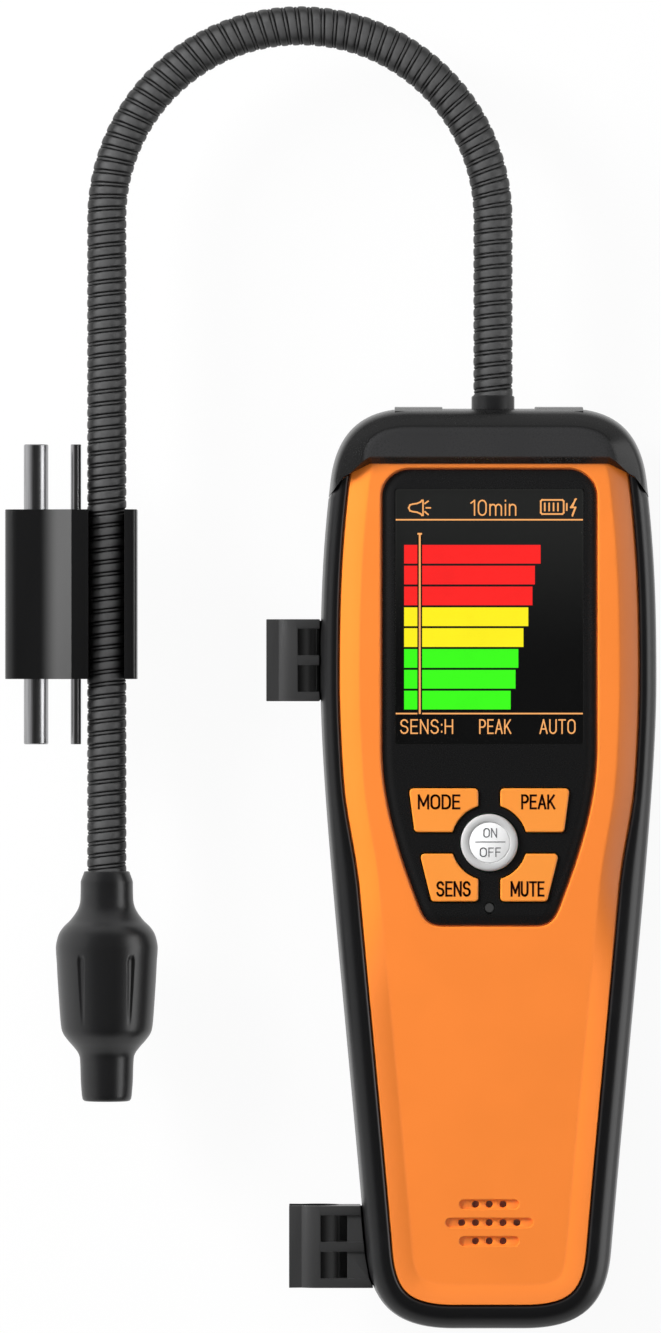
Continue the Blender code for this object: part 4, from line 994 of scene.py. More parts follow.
# The wound strip's height along one pitch: a wide crowned band, a groove, a lower narrow band, a groove
STRIP_SECTION = (
    (0.04, 0.80),
    (0.10, 0.93),
    (0.30, 1.00),
    (0.50, 0.93),
    (0.58, 0.80),
    (0.66, 0.00),
    (0.73, 0.66),
    (0.80, 0.70),
    (0.87, 0.66),
    (0.95, 0.00),
)


def neck_tree():
    """A tube along a curve, whose radius follows one wound strip."""
    tree = Tree(
        "strip_wound_neck",
        {
            "Radius": ("Float", 0.0045),
            "Pitch": ("Float", 0.00278),
            "Groove Depth": ("Float", 0.0004),
            "Sides": ("Int", 30),
            "Samples": ("Int", 20),
            "Material": ("Material", None),
        },
    )
    pitch, radius = tree.given("Pitch"), tree.given("Radius")
    step = tree.math("DIVIDE", pitch, tree.given("Samples"))
    line = {"Curve": tree.given("Geometry"), "Length": step}
    line = tree.add("GeometryNodeResampleCurve", {"mode": "LENGTH"}, line)
    line, centre = tree.kept(line, tree.add("GeometryNodeInputPosition"), "VECTOR")
    line, run_length = tree.kept(line, tree.add("GeometryNodeSplineParameter", out="Length"))
    hoop = {"Resolution": tree.given("Sides"), "Radius": radius}
    hoop = tree.add("GeometryNodeCurvePrimitiveCircle", {"mode": "RADIUS"}, hoop)
    hoop, turn = tree.kept(hoop, tree.add("GeometryNodeSplineParameter", out="Factor"))
    tube = tree.add("GeometryNodeCurveToMesh", {}, {"Curve": line, "Profile Curve": hoop, "Fill Caps": True})
    phase = tree.math("FRACT", tree.math("SUBTRACT", tree.math("DIVIDE", run_length, pitch), turn))
    shape = tree.add("ShaderNodeFloatCurve", {}, {"Value": phase}, out=None)
    curve = shape.mapping.curves[0]
    for place, height in STRIP_SECTION:
        curve.points.new(place, height)
    curve.points[0].location = (0.0, STRIP_SECTION[0][1])
    curve.points[-1].location = (1.0, STRIP_SECTION[0][1])
    for point in curve.points:
        point.handle_type = "VECTOR"
    shape.mapping.update()
    sunk = tree.math("MULTIPLY", tree.math("SUBTRACT", 1.0, shape.outputs[0]), tree.given("Groove Depth"))
    spoke = tree.vector("SUBTRACT", {0: tree.add("GeometryNodeInputPosition"), 1: centre})
    spoke = tree.vector("NORMALIZE", {0: spoke})
    reach = tree.vector("SCALE", {0: spoke, "Scale": tree.math("SUBTRACT", radius, sunk)})
    place = tree.vector("ADD", {0: centre, 1: reach})
    wound = tree.add("GeometryNodeSetPosition", {}, {"Geometry": tube, "Position": place})
    marked = tree.add(
        "GeometryNodeStoreNamedAttribute",
        {"data_type": "FLOAT", "domain": "POINT"},
        {"Geometry": wound, "Name": "groove", "Value": tree.math("SUBTRACT", 1.0, shape.outputs[0])},
    )
    tree.close(marked)
    return tree


def bars_tree():
    """A flat bar from each point, as long as the point's number says."""
    tree = Tree(
        "level_bars",
        {"Height": ("Float", BAR_HEIGHT), "Thickness": ("Float", INK), "Material": ("Material", None)},
    )
    bar = tree.add("GeometryNodeMeshCube", {}, {"Size": (1.0, 1.0, 1.0)}, out="Mesh")
    bar = tree.moved(bar, (0.5, -0.5, 0.5))
    length = tree.add("GeometryNodeInputNamedAttribute", {"data_type": "FLOAT"}, {"Name": "length"})
    size = tree.combined(X=length, Y=tree.given("Height"), Z=tree.given("Thickness"))
    tree.close(tree.on_points(bar, Scale=size))
    return tree


def screw_tree():
    """A round head with a cross recess at each point, facing down."""
    tree = Tree(
        "cross_head_screws",
        {
            "Head Radius": ("Float", 0.0026),
            "Head Height": ("Float", 0.0015),
            "Shank Radius": ("Float", 0.0013),
            "Shank Length": ("Float", 0.0190),
            "Slot Width": ("Float", 0.0006),
            "Slot Depth": ("Float", 0.0009),
            "Material": ("Material", None),
        },
    )
    head_height = tree.given("Head Height")
    head = tree.add(
        "GeometryNodeMeshCylinder",
        {},
        {"Vertices": 32, "Radius": tree.given("Head Radius"), "Depth": head_height},
        out="Mesh",
    )
    slot_size = tree.math("MULTIPLY", tree.given("Head Radius"), 1.25)
    deep = tree.math("MULTIPLY", tree.given("Slot Depth"), 2.0)
    bars = []
    for x, y in ((slot_size, tree.given("Slot Width")), (tree.given("Slot Width"), slot_size)):
        bar = tree.add("GeometryNodeMeshCube", {}, {"Size": tree.combined(X=x, Y=y, Z=deep)}, out="Mesh")
        bars.append(tree.moved(bar, tree.combined(Z=tree.math("MULTIPLY", head_height, -0.5))))
    cut = tree.group.nodes.new("GeometryNodeMeshBoolean")
    cut.operation = "DIFFERENCE"
    tree.group.links.new(head, cut.inputs["Mesh 1"])
    for bar in bars:
        tree.group.links.new(bar, cut.inputs["Mesh 2"])
    shank = tree.add(
        "GeometryNodeMeshCylinder",
        {},
        {"Vertices": 20, "Radius": tree.given("Shank Radius"), "Depth": tree.given("Shank Length")},
        out="Mesh",
    )
    lift = tree.math("MULTIPLY", tree.math("ADD", tree.given("Shank Length"), head_height), 0.5)
    shank = tree.moved(shank, tree.combined(Z=lift))
    both = tree.group.nodes.new("GeometryNodeJoinGeometry")
    for part in (shank, cut.outputs["Mesh"]):
        tree.group.links.new(part, both.inputs[0])
    whole = tree.moved(both.outputs[0], tree.combined(Z=tree.math("MULTIPLY", head_height, 0.5)))
    tree.close(tree.on_points(whole))
    return tree


# What a user may change


class HousingLook(PropertyGroup):
    shell: FloatVectorProperty(
        name="Shell", description="Colour of the front shell", subtype="COLOR",
        default=(0.99, 0.250, 0.030),
    )
    rim: FloatVectorProperty(
        name="Rim", description="Colour of the soft side rim", subtype="COLOR",
        default=(0.006, 0.006, 0.0065),
    )
    hood: FloatVectorProperty(
        name="Hood", description="Colour of the hood", subtype="COLOR",
        default=(0.036, 0.036, 0.037),
    )
    rear: FloatVectorProperty(
        name="Rear", description="Colour of the rear shell", subtype="COLOR",
        default=(0.008, 0.008, 0.0085),
    )
    round: FloatProperty(
        name="Edge Round", description="Rounding of the shell's edges", default=0.0003, min=0.0001,
        max=0.0006, subtype="DISTANCE", unit="LENGTH",
    )


class NeckLook(PropertyGroup):
    pitch: FloatProperty(
        name="Pitch", description="Length of one turn of the strip", default=0.00278, min=0.0015,
        max=0.005, subtype="DISTANCE", unit="LENGTH",
    )
    depth: FloatProperty(
        name="Groove Depth", description="Depth of the grooves", default=0.00045, min=0.0001,
        max=0.0008, subtype="DISTANCE", unit="LENGTH",
    )
    sides: IntProperty(name="Sides", description="Points round the neck", default=30, min=12, max=64)
    colour: FloatVectorProperty(
        name="Neck", description="Colour of the strip", subtype="COLOR",
        default=(0.085, 0.085, 0.086),
    )
    cap: FloatVectorProperty(
        name="Cap", description="Colour of the sensor cap", subtype="COLOR",
        default=(0.010, 0.010, 0.0105),
    )


class ScreenLook(PropertyGroup):
    line: FloatVectorProperty(
        name="Lines", description="Colour of lines and readings", subtype="COLOR",
        default=(0.956, 0.429, 0.141),
    )
    high: FloatVectorProperty(
        name="High", description="Colour of the high levels", subtype="COLOR",
        default=(0.98, 0.019, 0.018),
    )
    middle: FloatVectorProperty(
        name="Middle", description="Colour of the middle levels", subtype="COLOR",
        default=(1.0, 0.87, 0.013),
    )
    low: FloatVectorProperty(
        name="Low", description="Colour of the low levels", subtype="COLOR",
        default=(0.045, 0.98, 0.01),
    )
    glow: FloatProperty(
        name="Glow", description="Brightness of the lit parts", default=1.28, min=0.0, max=3.0,
        subtype="FACTOR",
    )
    back: FloatVectorProperty(
        name="Display", description="Colour of the unlit display", subtype="COLOR",
        default=(0.0200, 0.0205, 0.0195),
    )


class KeyLook(PropertyGroup):
    key: FloatVectorProperty(
        name="Keys", description="Colour of the four keys", subtype="COLOR",
        default=(1.0, 0.315, 0.034),
    )
    legend: FloatVectorProperty(
        name="Legends", description="Colour of the keys' words", subtype="COLOR",
        default=(0.012, 0.0005, 0.0005),
    )
    ring: FloatVectorProperty(
        name="Power Ring", description="Colour of the power key's ring", subtype="COLOR",
        default=(0.56, 0.56, 0.56),
    )
    disc: FloatVectorProperty(
        name="Power Disc", description="Colour of the power key's middle", subtype="COLOR",
        default=(0.95, 0.95, 0.95),
    )
    panel: FloatVectorProperty(
        name="Panel", description="Colour of the panel round the keys", subtype="COLOR",
        default=(0.0078, 0.0078, 0.0080),
    )


class StudioLook(PropertyGroup):
    sky: FloatProperty(
        name="Sky", description="Even light from all round", default=0.25, min=0.0, max=2.0,
        subtype="FACTOR",
    )
    ceiling: FloatProperty(
        name="Ceiling",
        description="Brightness of the ceiling as gloss shows it, where the walls are 1",
        default=0.04, min=0.0, max=1.0, subtype="FACTOR",
    )
    key: FloatProperty(
        name="Key Lamp", description="Power of the low lamp at the left", default=21.5, min=0.0,
        max=50.0, unit="POWER",
    )
    top: FloatProperty(
        name="Top Lamp", description="Power of the lamp overhead", default=3.3, min=0.0, max=50.0,
        unit="POWER",
    )
    side: FloatProperty(
        name="Side Lamp", description="Power of the low lamp at the right, which only gloss shows",
        default=10.0, min=0.0, max=50.0, unit="POWER",
    )
    white: FloatProperty(
        name="White Floor", description="How far the floor's own white covers the shadows on it",
        default=0.94, min=0.0, max=1.0, subtype="FACTOR",
    )
    lens: FloatProperty(
        name="Lens", description="Focal length of the camera, in millimetres", default=300.0,
        min=50.0, max=600.0,
    )
    floor: FloatVectorProperty(
        name="Floor", description="Colour of the floor", subtype="COLOR", default=(0.9, 0.9, 0.9),
    )


LOOKS = {
    "detector_housing": HousingLook,
    "detector_neck": NeckLook,
    "detector_screen": ScreenLook,
    "detector_keys": KeyLook,
    "detector_studio": StudioLook,
}


# Pieces


def sounder_slots():
    """Each slot's outline, with the outlines of its holes."""
    slots = []
    for row, count in enumerate((3, 5, 3)):
        y = SOUNDER_Y + (1 - row) * SLOT_ROW_PITCH
        length = (count - 1) * HOLE_PITCH + 0.00725
        holes = [circle(0.0008, (k - (count - 1) / 2) * HOLE_PITCH, y, 20) for k in range(count)]
        slots.append((rectangle(length, SLOT_WIDTH, SLOT_CORNER, 0.0, y), holes))
    return slots


class DETECTOR_OT_front_shell(Operator):
    """Makes the orange front shell with its facets, the panel's pocket and the sounder's slots"""

    bl_idname = "detector.front_shell"
    bl_label = "Front Shell"

    def execute(self, context):
        look = context.scene.detector_housing
        soft = look.round
        bm = bmesh.new()

        def slope(share):
            return lambda y: mix(edge_z(y), FACE_Z, share)

        levels = [
            (SKIRT_INSET, SKIRT_Z),
            (SKIRT_INSET, STEP_Z),
            (rim_inset, STEP_Z),
            (rim_inset, edge(-soft)),
            (rim(soft * 0.3), edge(-soft * 0.3)),
            (rim(soft), slope(soft / FACET_WIDTH)),
            (rim(FACET_WIDTH - soft * 1.4), slope(1 - soft * 1.4 / FACET_WIDTH)),
            (rim(FACET_WIDTH - soft * 0.6), slope(1 - soft * 0.6 / FACET_WIDTH)),
            (rim(FACET_WIDTH + soft * 0.4), FACE_Z),
            (rim(FACET_WIDTH + soft * 1.4), FACE_Z),
        ]
        rings = [[bm.verts.new(p) for p in ring] for ring in housing_rings(levels)]
        for low, high in zip(rings, rings[1:]):
            skin(bm, low, high)
        face_loops, floor_loops = [rings[-1]], []
        pocket = offset(fascia_outline(), SEAT_GAP)
        pocket_floor = FASCIA_BACK - SEAT_GAP
        roll = [(soft * 2, FACE_Z), (soft, FACE_Z), (soft * 0.3, FACE_Z - soft * 0.3), (0.0, FACE_Z - soft)]
        first, last = stack(bm, pocket, [*roll, (0.0, pocket_floor)])
        face_loops.append(first)
        window = offset(fascia_outline(), -FASCIA_LEDGE)
        brink, base = stack(bm, window, [(0.0, pocket_floor), (0.0, FACE_BACK)])
        flat_fill(bm, last, brink)
        floor_loops.append(base)
        for slot, holes in sounder_slots():
            sunk = FACE_Z - SLOT_DEPTH
            brow = [
                (soft, FACE_Z),
                (soft * 0.6, FACE_Z),
                (soft * 0.15, FACE_Z - soft * 0.2),
                (0.0, FACE_Z - soft * 0.6),
            ]
            first, last = stack(bm, slot, [*brow, (0.0, sunk)])
            face_loops.append(first)
            brinks = []
            for hole in holes:
                brink, base = stack(bm, hole, [(0.00008, sunk), (0.0, sunk - 0.00008), (0.0, FACE_BACK)])
                brinks.append(brink)
                floor_loops.append(base)
            flat_fill(bm, last, *brinks)
        flat_fill(bm, *face_loops)
        inner = SKIRT_INSET + SKIRT_WALL
        under = [
            (inner, SKIRT_Z),
            (inner, FACE_BACK - FACE_WALL),
            (rim(FACE_WALL), FACE_BACK),
        ]
        lower = [[bm.verts.new(p) for p in ring] for ring in housing_rings(under)]
        for low, high in zip(lower, lower[1:]):
            skin(bm, low, high)
        skin(bm, rings[0], lower[0])
        flat_fill(bm, lower[-1], *floor_loops)
        finish = moulded("orange_shell", look.shell, 0.42, mottle=0.03, specular=0.35)
        settle(new_piece("front_shell_surface", bm, finish, 50), "housing", "shell", "front_shell")
        return {"FINISHED"}


class DETECTOR_OT_rear_shell(Operator):
    """Makes the rear shell with rounded edges, screw wells and the charging opening"""

    bl_idname = "detector.rear_shell"
    bl_label = "Rear Shell"

    def execute(self, context):
        look = context.scene.detector_housing
        finish = moulded("rear_plastic", look.rear, 0.48, depth=0.00002, specular=0.35)
        steps = 12
        turns = [math.pi / 2 * k / steps for k in range(steps + 1)]
        lip = SKIRT_INSET + SKIRT_WALL
        levels = [
            (lambda y, s=math.sin(t): mix(back_edge(y), SPLIT_INSET, s), SPLIT_Z * (1 - math.cos(t)))
            for t in turns
        ]
        levels += [(lip, SPLIT_Z), (lip, SPLIT_Z - BACK_WALL)]
        levels += [
            (
                lambda y, s=math.cos(t): mix(lip, back_edge(y) + BACK_WALL, 1 - s),
                BACK_WALL + (SPLIT_Z - BACK_WALL) * (1 - math.sin(t)),
            )
            for t in turns[steps // 2 :]
        ]
        shell = loft("rear_shell_surface", housing_rings(levels), finish, angle=50)
        wells = []
        for node in SCREWS:
            x, y = face_centre(node)
            start, end = (x, y, -OVERCUT), (x, y, BACK_WALL + OVERCUT)
            wells.append(cylinder(node + "_well", WELL_RADIUS, start, end, finish))
        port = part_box("charge_port")
        centre = (port[0] + port[1]) / 2
        way = rectangle(*PORT_WAY, centre.x, centre.z)
        bm = bmesh.new()
        rows = [[bm.verts.new((p.x, y, p.y)) for p in way] for y in (END - OVERCUT, END + 0.0200)]
        skin(bm, *rows)
        bm.faces.new(rows[0])
        bm.faces.new(rows[1])
        wells.append(new_piece("port_way", bm, finish))
        carve(shell, "DIFFERENCE", *wells, angle=50)
        settle(shell, "housing", "rear_plastic", "rear_shell")
        return {"FINISHED"}


def hood_zone(name, grow=0.0):
    """The block that the hood is kept from, with diagonal lower corners and a sloping front edge."""
    lip = 0.0016

    def ring(height, lift):
        right = [(x, TOP - drop + lift - grow) for x, drop in HOOD_EDGE]
        half = [(HOOD_EDGE[-1][0], TOP + OVERCUT * 3), *reversed(right)]
        return [(x, y, height) for x, y in half] + [(-x, y, height) for x, y in reversed(half)]

    rings = [
        ring(SPLIT_Z - OVERCUT, 0),
        ring(FACE_Z + SEAT_GAP, 0),
        ring(HOOD_Z, lip),
        ring(HOOD_Z + OVERCUT, lip),
    ]
    return loft(name, rings, bpy.data.materials.new(name))


class DETECTOR_OT_side_rim(Operator):
    """Makes the soft rim round the sides and the lower end"""

    bl_idname = "detector.side_rim"
    bl_label = "Side Rim"

    def execute(self, context):
        look = context.scene.detector_housing
        inner = SKIRT_INSET - SEAT_GAP
        crest = 0.0003
        levels = [
            (SPLIT_INSET, SKIRT_Z),
            (0.0004, SKIRT_Z + 0.0012),
            (0.0001, SKIRT_Z + 0.0045),
            (0.0, mix(SKIRT_Z, STEP_Z, 0.45)),
            (0.0001, mix(SKIRT_Z, STEP_Z, 0.65)),
            (SPLIT_INSET / 2, mix(SKIRT_Z, STEP_Z, 0.85)),
            (rim(share=0.15), edge(-0.0019)),
            (rim(share=0.30), edge(-0.0009)),
            (rim(share=0.46), edge(-0.0001)),
            (rim(share=0.62), edge(crest)),
            (rim(-0.0010), edge(crest)),
            (rim(-0.0006), edge(crest * 0.6)),
            (rim(-SEAT_GAP), edge(-crest)),
            (rim(-SEAT_GAP), STEP_Z + SEAT_GAP),
            (inner, STEP_Z + SEAT_GAP),
            (inner, SKIRT_Z),
        ]
        finish = rubber("rim_rubber", look.rim, 0.36, 0.4)
        bumper = loft("side_rim_surface", housing_rings(levels), finish, closed=True, angle=50)
        tools = [hood_zone("hood_room", SEAT_GAP)]
        half = Vector((0, CLIP_TONGUE_WIDTH / 2 + SEAT_GAP, CLIP_TONGUE_HEIGHT / 2 + SEAT_GAP))
        z = NECK_Z + CLIP_TONGUE_RISE
        for node in HOSE_CLIPS:
            low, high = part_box(node)
            y = (low.y + high.y) / 2
            start, end = Vector((low.x, y, z)), Vector((high.x + SEAT_GAP, y, z))
            tools.append(cuboid(node + "_slot", start - half, end + half, finish))
        carve(bumper, "DIFFERENCE", *tools, angle=50)
        settle(bumper, "housing", "soft_rim", "side_bumper")
        return {"FINISHED"}


class DETECTOR_OT_hood(Operator):
    """Makes the hood over the top end"""

    bl_idname = "detector.hood"
    bl_label = "Hood"

    def execute(self, context):
        look = context.scene.detector_housing
        # Painted shade: the hood's bevel below its top is painted far darker than the top.
        border = ("Z", HOOD_Z - 0.00008, HOOD_Z - 0.0005, tinted(look.hood, 0.12))
        finish = moulded("hood_plastic", look.hood, 0.28, depth=0.000012, specular=0.25, painted_light_ramp=border)

        def bevel(y, share=1.0):
            return HOOD_RIM + mix(*HOOD_BEVEL, ease(y, TOP, TOP - CROWN_DROP)) * share

        levels = [
            (SPLIT_INSET, SKIRT_Z),
            (0.0002, SKIRT_Z + 0.0030),
            (0.0, mix(SKIRT_Z, HOOD_RIM_Z, 0.45)),
            (0.0001, mix(SKIRT_Z, HOOD_RIM_Z, 0.65)),
            (SPLIT_INSET / 2, mix(SKIRT_Z, HOOD_RIM_Z, 0.80)),
            (HOOD_RIM * 0.55, mix(SKIRT_Z, HOOD_RIM_Z, 0.92)),
            (HOOD_RIM, HOOD_RIM_Z),
            (lambda y: bevel(y, 0.12), HOOD_RIM_Z + 0.0006),
            (lambda y: bevel(y, 0.80), HOOD_Z - 0.0007),
            (lambda y: bevel(y, 0.95), HOOD_Z - 0.0003),
            (lambda y: bevel(y, 1.12), HOOD_Z - 0.00006),
            (lambda y: bevel(y, 1.4), HOOD_Z),
            (lambda y: bevel(y, 1.5), HOOD_Z),
        ]
        hood = loft("hood_surface", housing_rings(levels), finish, angle=40)
        pads = []
        for side in (-1, 1):
            left, right = side * PAD_OFFSET - PAD_HALF, side * PAD_OFFSET + PAD_HALF
            back, rings = TOP - PAD_ROOT, []
            for z, rise in PAD_SECTION:
                front = TOP + rise
                corners = ((left, back), (right, back), (right, front), (left, front))
                rings.append([(x, y, NECK_Z + z) for x, y in corners])
            pads.append(loft(f"pad_{side}", rings, finish))
        carve(hood, "UNION", *pads, angle=40)
        carve(hood, "INTERSECT", hood_zone("hood_block"), angle=40)
        inner = [
            (rim(FACET_WIDTH - SEAT_GAP), FACE_Z + SEAT_GAP),
            (rim(-SEAT_GAP), edge(SEAT_GAP)),
            (rim(-SEAT_GAP), STEP_Z + SEAT_GAP),
            (SKIRT_INSET - SEAT_GAP, STEP_Z + SEAT_GAP),
            (SKIRT_INSET - SEAT_GAP, SPLIT_Z - OVERCUT),
        ]
        room = loft("shell_room", housing_rings(inner), finish)
        start, end = (NECK_X, TOP - 0.0060, NECK_Z), (NECK_X, TOP + OVERCUT, NECK_Z)
        way = cylinder("ferrule_way", FERRULE_WAY, start, end, finish, 48)
        carve(hood, "DIFFERENCE", room, way, angle=40)
        settle(hood, "housing", "hood_plastic", "top_hood")
        return {"FINISHED"}


class DETECTOR_OT_panel(Operator):
    """Makes the black panel round the screen and keys, with rolled edges"""

    bl_idname = "detector.panel"
    bl_label = "Panel"

    def execute(self, context):
        look = context.scene.detector_keys
        bm = bmesh.new()
        drops = (
            (0.0, PANEL_DROP * 1.15),
            (0.00015, PANEL_DROP),
            (0.0006, PANEL_DROP * 0.86),
            (0.0012, PANEL_DROP * 0.55),
            (0.0018, PANEL_DROP * 0.22),
            (0.0022, PANEL_DROP * 0.05),
            (0.0024, 0.0),
            (0.0027, 0.0),
        )
        roll = [(0.0, FASCIA_BACK), *((-inset, FASCIA_Z - drop) for inset, drop in drops)]
        base, face = stack(bm, fascia_outline(), roll)
        faces, backs = [face], [base]
        holes = [offset(key_outline(side, row), SEAT_GAP) for _, side, row in KEYS]
        holes += [circle(POWER_HOLE, 0.0, POWER_Y, 72), circle(LAMP_HOLE, 0.0, LAMP_Y, 24)]
        holes.append(rectangle(*SCREEN_SIZE, 0.0006, 0.0, SCREEN_Y))
        for hole in holes:
            brow = [
                (0.00022, FASCIA_Z),
                (0.00010, FASCIA_Z),
                (0.00003, FASCIA_Z - 0.00003),
                (0.0, FASCIA_Z - 0.00010),
            ]
            brink, foot = stack(bm, hole, [*brow, (0.0, FASCIA_BACK)])
            faces.append(brink)
            backs.append(foot)
        flat_fill(bm, *faces)
        flat_fill(bm, *backs)
        # Painted reflection: the panel is painted lighter towards its top, round the screen.
        upper = ("Y", SCREEN_Y - 0.030, SCREEN_Y + 0.030, tinted(look.panel, 1.25))
        finish = moulded("panel_black", look.panel, 0.26, grain=0.0003, depth=0.000004, painted_light_ramp=upper)
        settle(new_piece("panel_surface", bm, finish, 40), "housing", "panel", "fascia")
        return {"FINISHED"}


class DETECTOR_OT_screen(Operator):
    """Lights the screen: its lines, readings, symbols and level bars, under a clear window"""

    bl_idname = "detector.screen"
    bl_label = "Screen"

    def execute(self, context):
        look = context.scene.detector_screen
        module, pane = frame["nodes"]["lcd_module"], frame["nodes"]["screen_lens"]
        paint(module, lit_display("display_glass", look.back))
        paint(pane, window_pane("window_clear"))
        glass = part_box("lcd_module")[1].z + 0.00003
        line = glowing("screen_lines", look.line, look.glow)
        made = []
        words = (
            ("reading_time", "10min", (-4.3, 80.3), (6.15, 83.95)),
            ("reading_sensitivity", "SENS:H", (-20.25, 30.75), (-8.2, 34.1)),
            ("reading_peak", "PEAK", (-2.3, 30.75), (5.0, 34.1)),
            ("reading_auto", "AUTO", (11.4, 30.75), (19.6, 34.1)),
        )
        for name, text, low, high in words:
            made.append(lettering(name, text, low, high, glass, line, 0.00031))
        rules = [[(-21.05, 79.4), (21.05, 79.4)], [(-21.05, 35.38), (21.05, 35.38)]]
        made.append(strokes("screen_rules", millimetres(rules), 0.00034, glass, line))
        brow = [(-18.0, 82.75), (-17.4, 82.95), (-16.4, 83.1), (-15.6, 83.45), (-15.3, 83.8), (-15.05, 83.8)]
        chin = [(x, 164.2 - y) for x, y in reversed(brow)]
        speaker = [
            [(-18.3, 82.1), *brow, *chin, (-18.3, 82.1)],
            [(-14.6, 83.1), (-13.9, 83.6)],
            [(-14.3, 82.1), (-13.4, 82.1)],
            [(-14.6, 81.2), (-13.9, 80.6)],
        ]
        case = [
            (12.0, 83.9),
            (16.6, 83.9),
            (16.9, 83.6),
            (16.9, 81.0),
            (16.6, 80.7),
            (12.0, 80.7),
            (11.7, 81.0),
        ]
        cell = [
            [*case, (11.7, 83.6), case[0]],
            [(17.6, 83.0), (17.6, 81.6)],
        ]
        cell += [[(x, 83.1), (x, 81.5)] for x in (12.6, 13.6, 14.6, 15.6)]
        bolt = [
            [(19.7, 84.1), (18.5, 82.2), (19.6, 82.2), (18.9, 80.3)],
            [(19.5, 84.0), (18.9, 82.3)],
            [(19.5, 82.1), (18.9, 80.6)],
        ]
        symbols = (
            ("symbol_sounder", speaker, 0.00034),
            ("symbol_cell", cell, 0.00036),
            ("symbol_charge", bolt, 0.00034),
        )
        for name, paths, width in symbols:
            made.append(strokes(name, millimetres(paths), width, glass, line))
        mark = [[(-15.79, 76.1), (-15.79, 35.5)], [(-16.1, 76.2), (-15.5, 76.2)]]
        shade = moulded("marker_shade", (0.004, 0.004, 0.004), 0.5)
        made.append(strokes("marker_edge", millimetres(mark[:1]), 0.0011, glass + 0.00006, shade))
        made.append(strokes("marker", millimetres(mark), 0.00042, glass + 0.00012, line))
        groups = (
            ("bars_high", look.high, (31.0, 29.7, 29.15)),
            ("bars_middle", look.middle, (28.2, 27.1)),
            ("bars_low", look.low, (25.95, 25.3, 24.2)),
        )
        tree = bars_tree()
        level = 0
        for name, colour, lengths in groups:
            rows = range(level, level + len(lengths))
            points = [(BAR_X, BAR_TOP - BAR_PITCH * row, glass) for row in rows]
            piece = points_piece(name, points, {"length": [v * MM for v in lengths]})
            finish = glowing(name + "_light", colour, look.glow)
            made.append(tree.run(piece, Material=finish, Height=BAR_HEIGHT))
            level += len(lengths)
        for piece in made:
            settle(piece, "housing", "display")
        return {"FINISHED"}


def paint(node, material):
    """Gives a solid that stays a finish of its own."""
    node.data.materials.clear()
    node.data.materials.append(material)


class DETECTOR_OT_keys(Operator):
    """Makes the four keys with soft edges and their words"""

    bl_idname = "detector.keys"
    bl_label = "Keys"

    def execute(self, context):
        look = context.scene.detector_keys
        finish = moulded("key_plastic", look.key, 0.42, grain=0.0003, depth=0.000006, mottle=0.03)
        ink = moulded("legend_ink", look.legend, 0.5, depth=0.000002, specular=0.2)
        words = {
            "key_mode": ("MODE", (-16.25, 13.65), (-6.6, 17.05)),
            "key_peak": ("PEAK", (7.2, 13.65), (14.95, 17.05)),
            "key_sens": ("SENS", (-12.05, -6.15), (-4.25, -2.65)),
            "key_mute": ("MUTE", (4.8, -6.15), (12.5, -2.65)),
        }
        soft = 0.00025
        for name, side, row in KEYS:
            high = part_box(name)[1]
            body = name.removeprefix("key_") + "_key"
            levels = [
                (0.0, FASCIA_BACK - SEAT_GAP),
                (0.0, high.z - soft),
                (-soft * 0.3, high.z - soft * 0.3),
                (-soft, high.z),
                (-soft * 1.8, high.z),
            ]
            key = block(name + "_surface", key_outline(side, row), levels, finish, 50)
            settle(key, body, "key", name)
            legend = lettering(name + "_word", *words[name], high.z, ink, 0.00046)
            settle(legend, body, "key")
        return {"FINISHED"}


class DETECTOR_OT_power_key(Operator):
    """Makes the round power key with its ring, white middle and words"""

    bl_idname = "detector.power_key"
    bl_label = "Power Key"

    def execute(self, context):
        look = context.scene.detector_keys
        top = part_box("power_key")[1].z
        ring = moulded("power_ring", look.ring, 0.35, depth=0.000004, mottle=0.03)
        white = moulded("power_white", look.disc, 0.4, depth=0.000004, mottle=0.01)
        ink = moulded("power_ink", (0.16, 0.16, 0.17), 0.5, depth=0.000002)
        place = (0, POWER_Y, 0)
        outer = [
            (0, FASCIA_BACK - SEAT_GAP),
            (0.0065, FASCIA_BACK - SEAT_GAP),
            (0.0065, top - 0.0006),
            (0.00635, top - 0.00025),
            (0.0061, top - 0.00008),
            (0.0058, top),
            (0.00485, top),
            (0.0047, top - 0.00012),
            (0.0046, top - 0.00035),
            (0, top - 0.00035),
        ]
        turned = lathe("power_key_ring", outer, place, (0, 0, 1), ring, angle=50)
        settle(turned, "power_button", "power", "power_key")
        disc = [
            (0, top - 0.00032),
            (0.00455, top - 0.00032),
            (0.00455, top - 0.00018),
            (0.0044, top - 0.00010),
            (0, top - 0.00006),
        ]
        settle(lathe("power_key_disc", disc, place, (0, 0, 1), white, angle=50), "power_button", "power")
        z = top - 0.00008
        words = (
            ("power_on_word", "ON", (-1.4, 7.25), (1.7, 9.4)),
            ("power_off_word", "OFF", (-2.2, 2.85), (2.6, 5.0)),
        )
        for name, text, low, high in words:
            word = lettering(name, text, low, high, z, ink, 0.00022, 0.00006)
            settle(word, "power_button", "power")
        bar = strokes("power_bar", millimetres([[(-3.1, 6.25), (3.5, 6.25)]]), 0.00022, z, ink, 0.00006)
        settle(bar, "power_button", "power")
        return {"FINISHED"}


def neck_route():
    """Points down the middle of the neck, close together in the loop."""
    points = [(NECK_X, NECK_START, NECK_Z)]
    steps = 96
    for k in range(steps + 1):
        turn = math.pi * k / steps
        x = NECK_X - LOOP_RADIUS + LOOP_RADIUS * math.cos(turn)
        points.append((x, LOOP_Y + LOOP_RADIUS * math.sin(turn), NECK_Z))
    return [*points, (HEAD_X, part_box("gooseneck")[0].y, NECK_Z)]


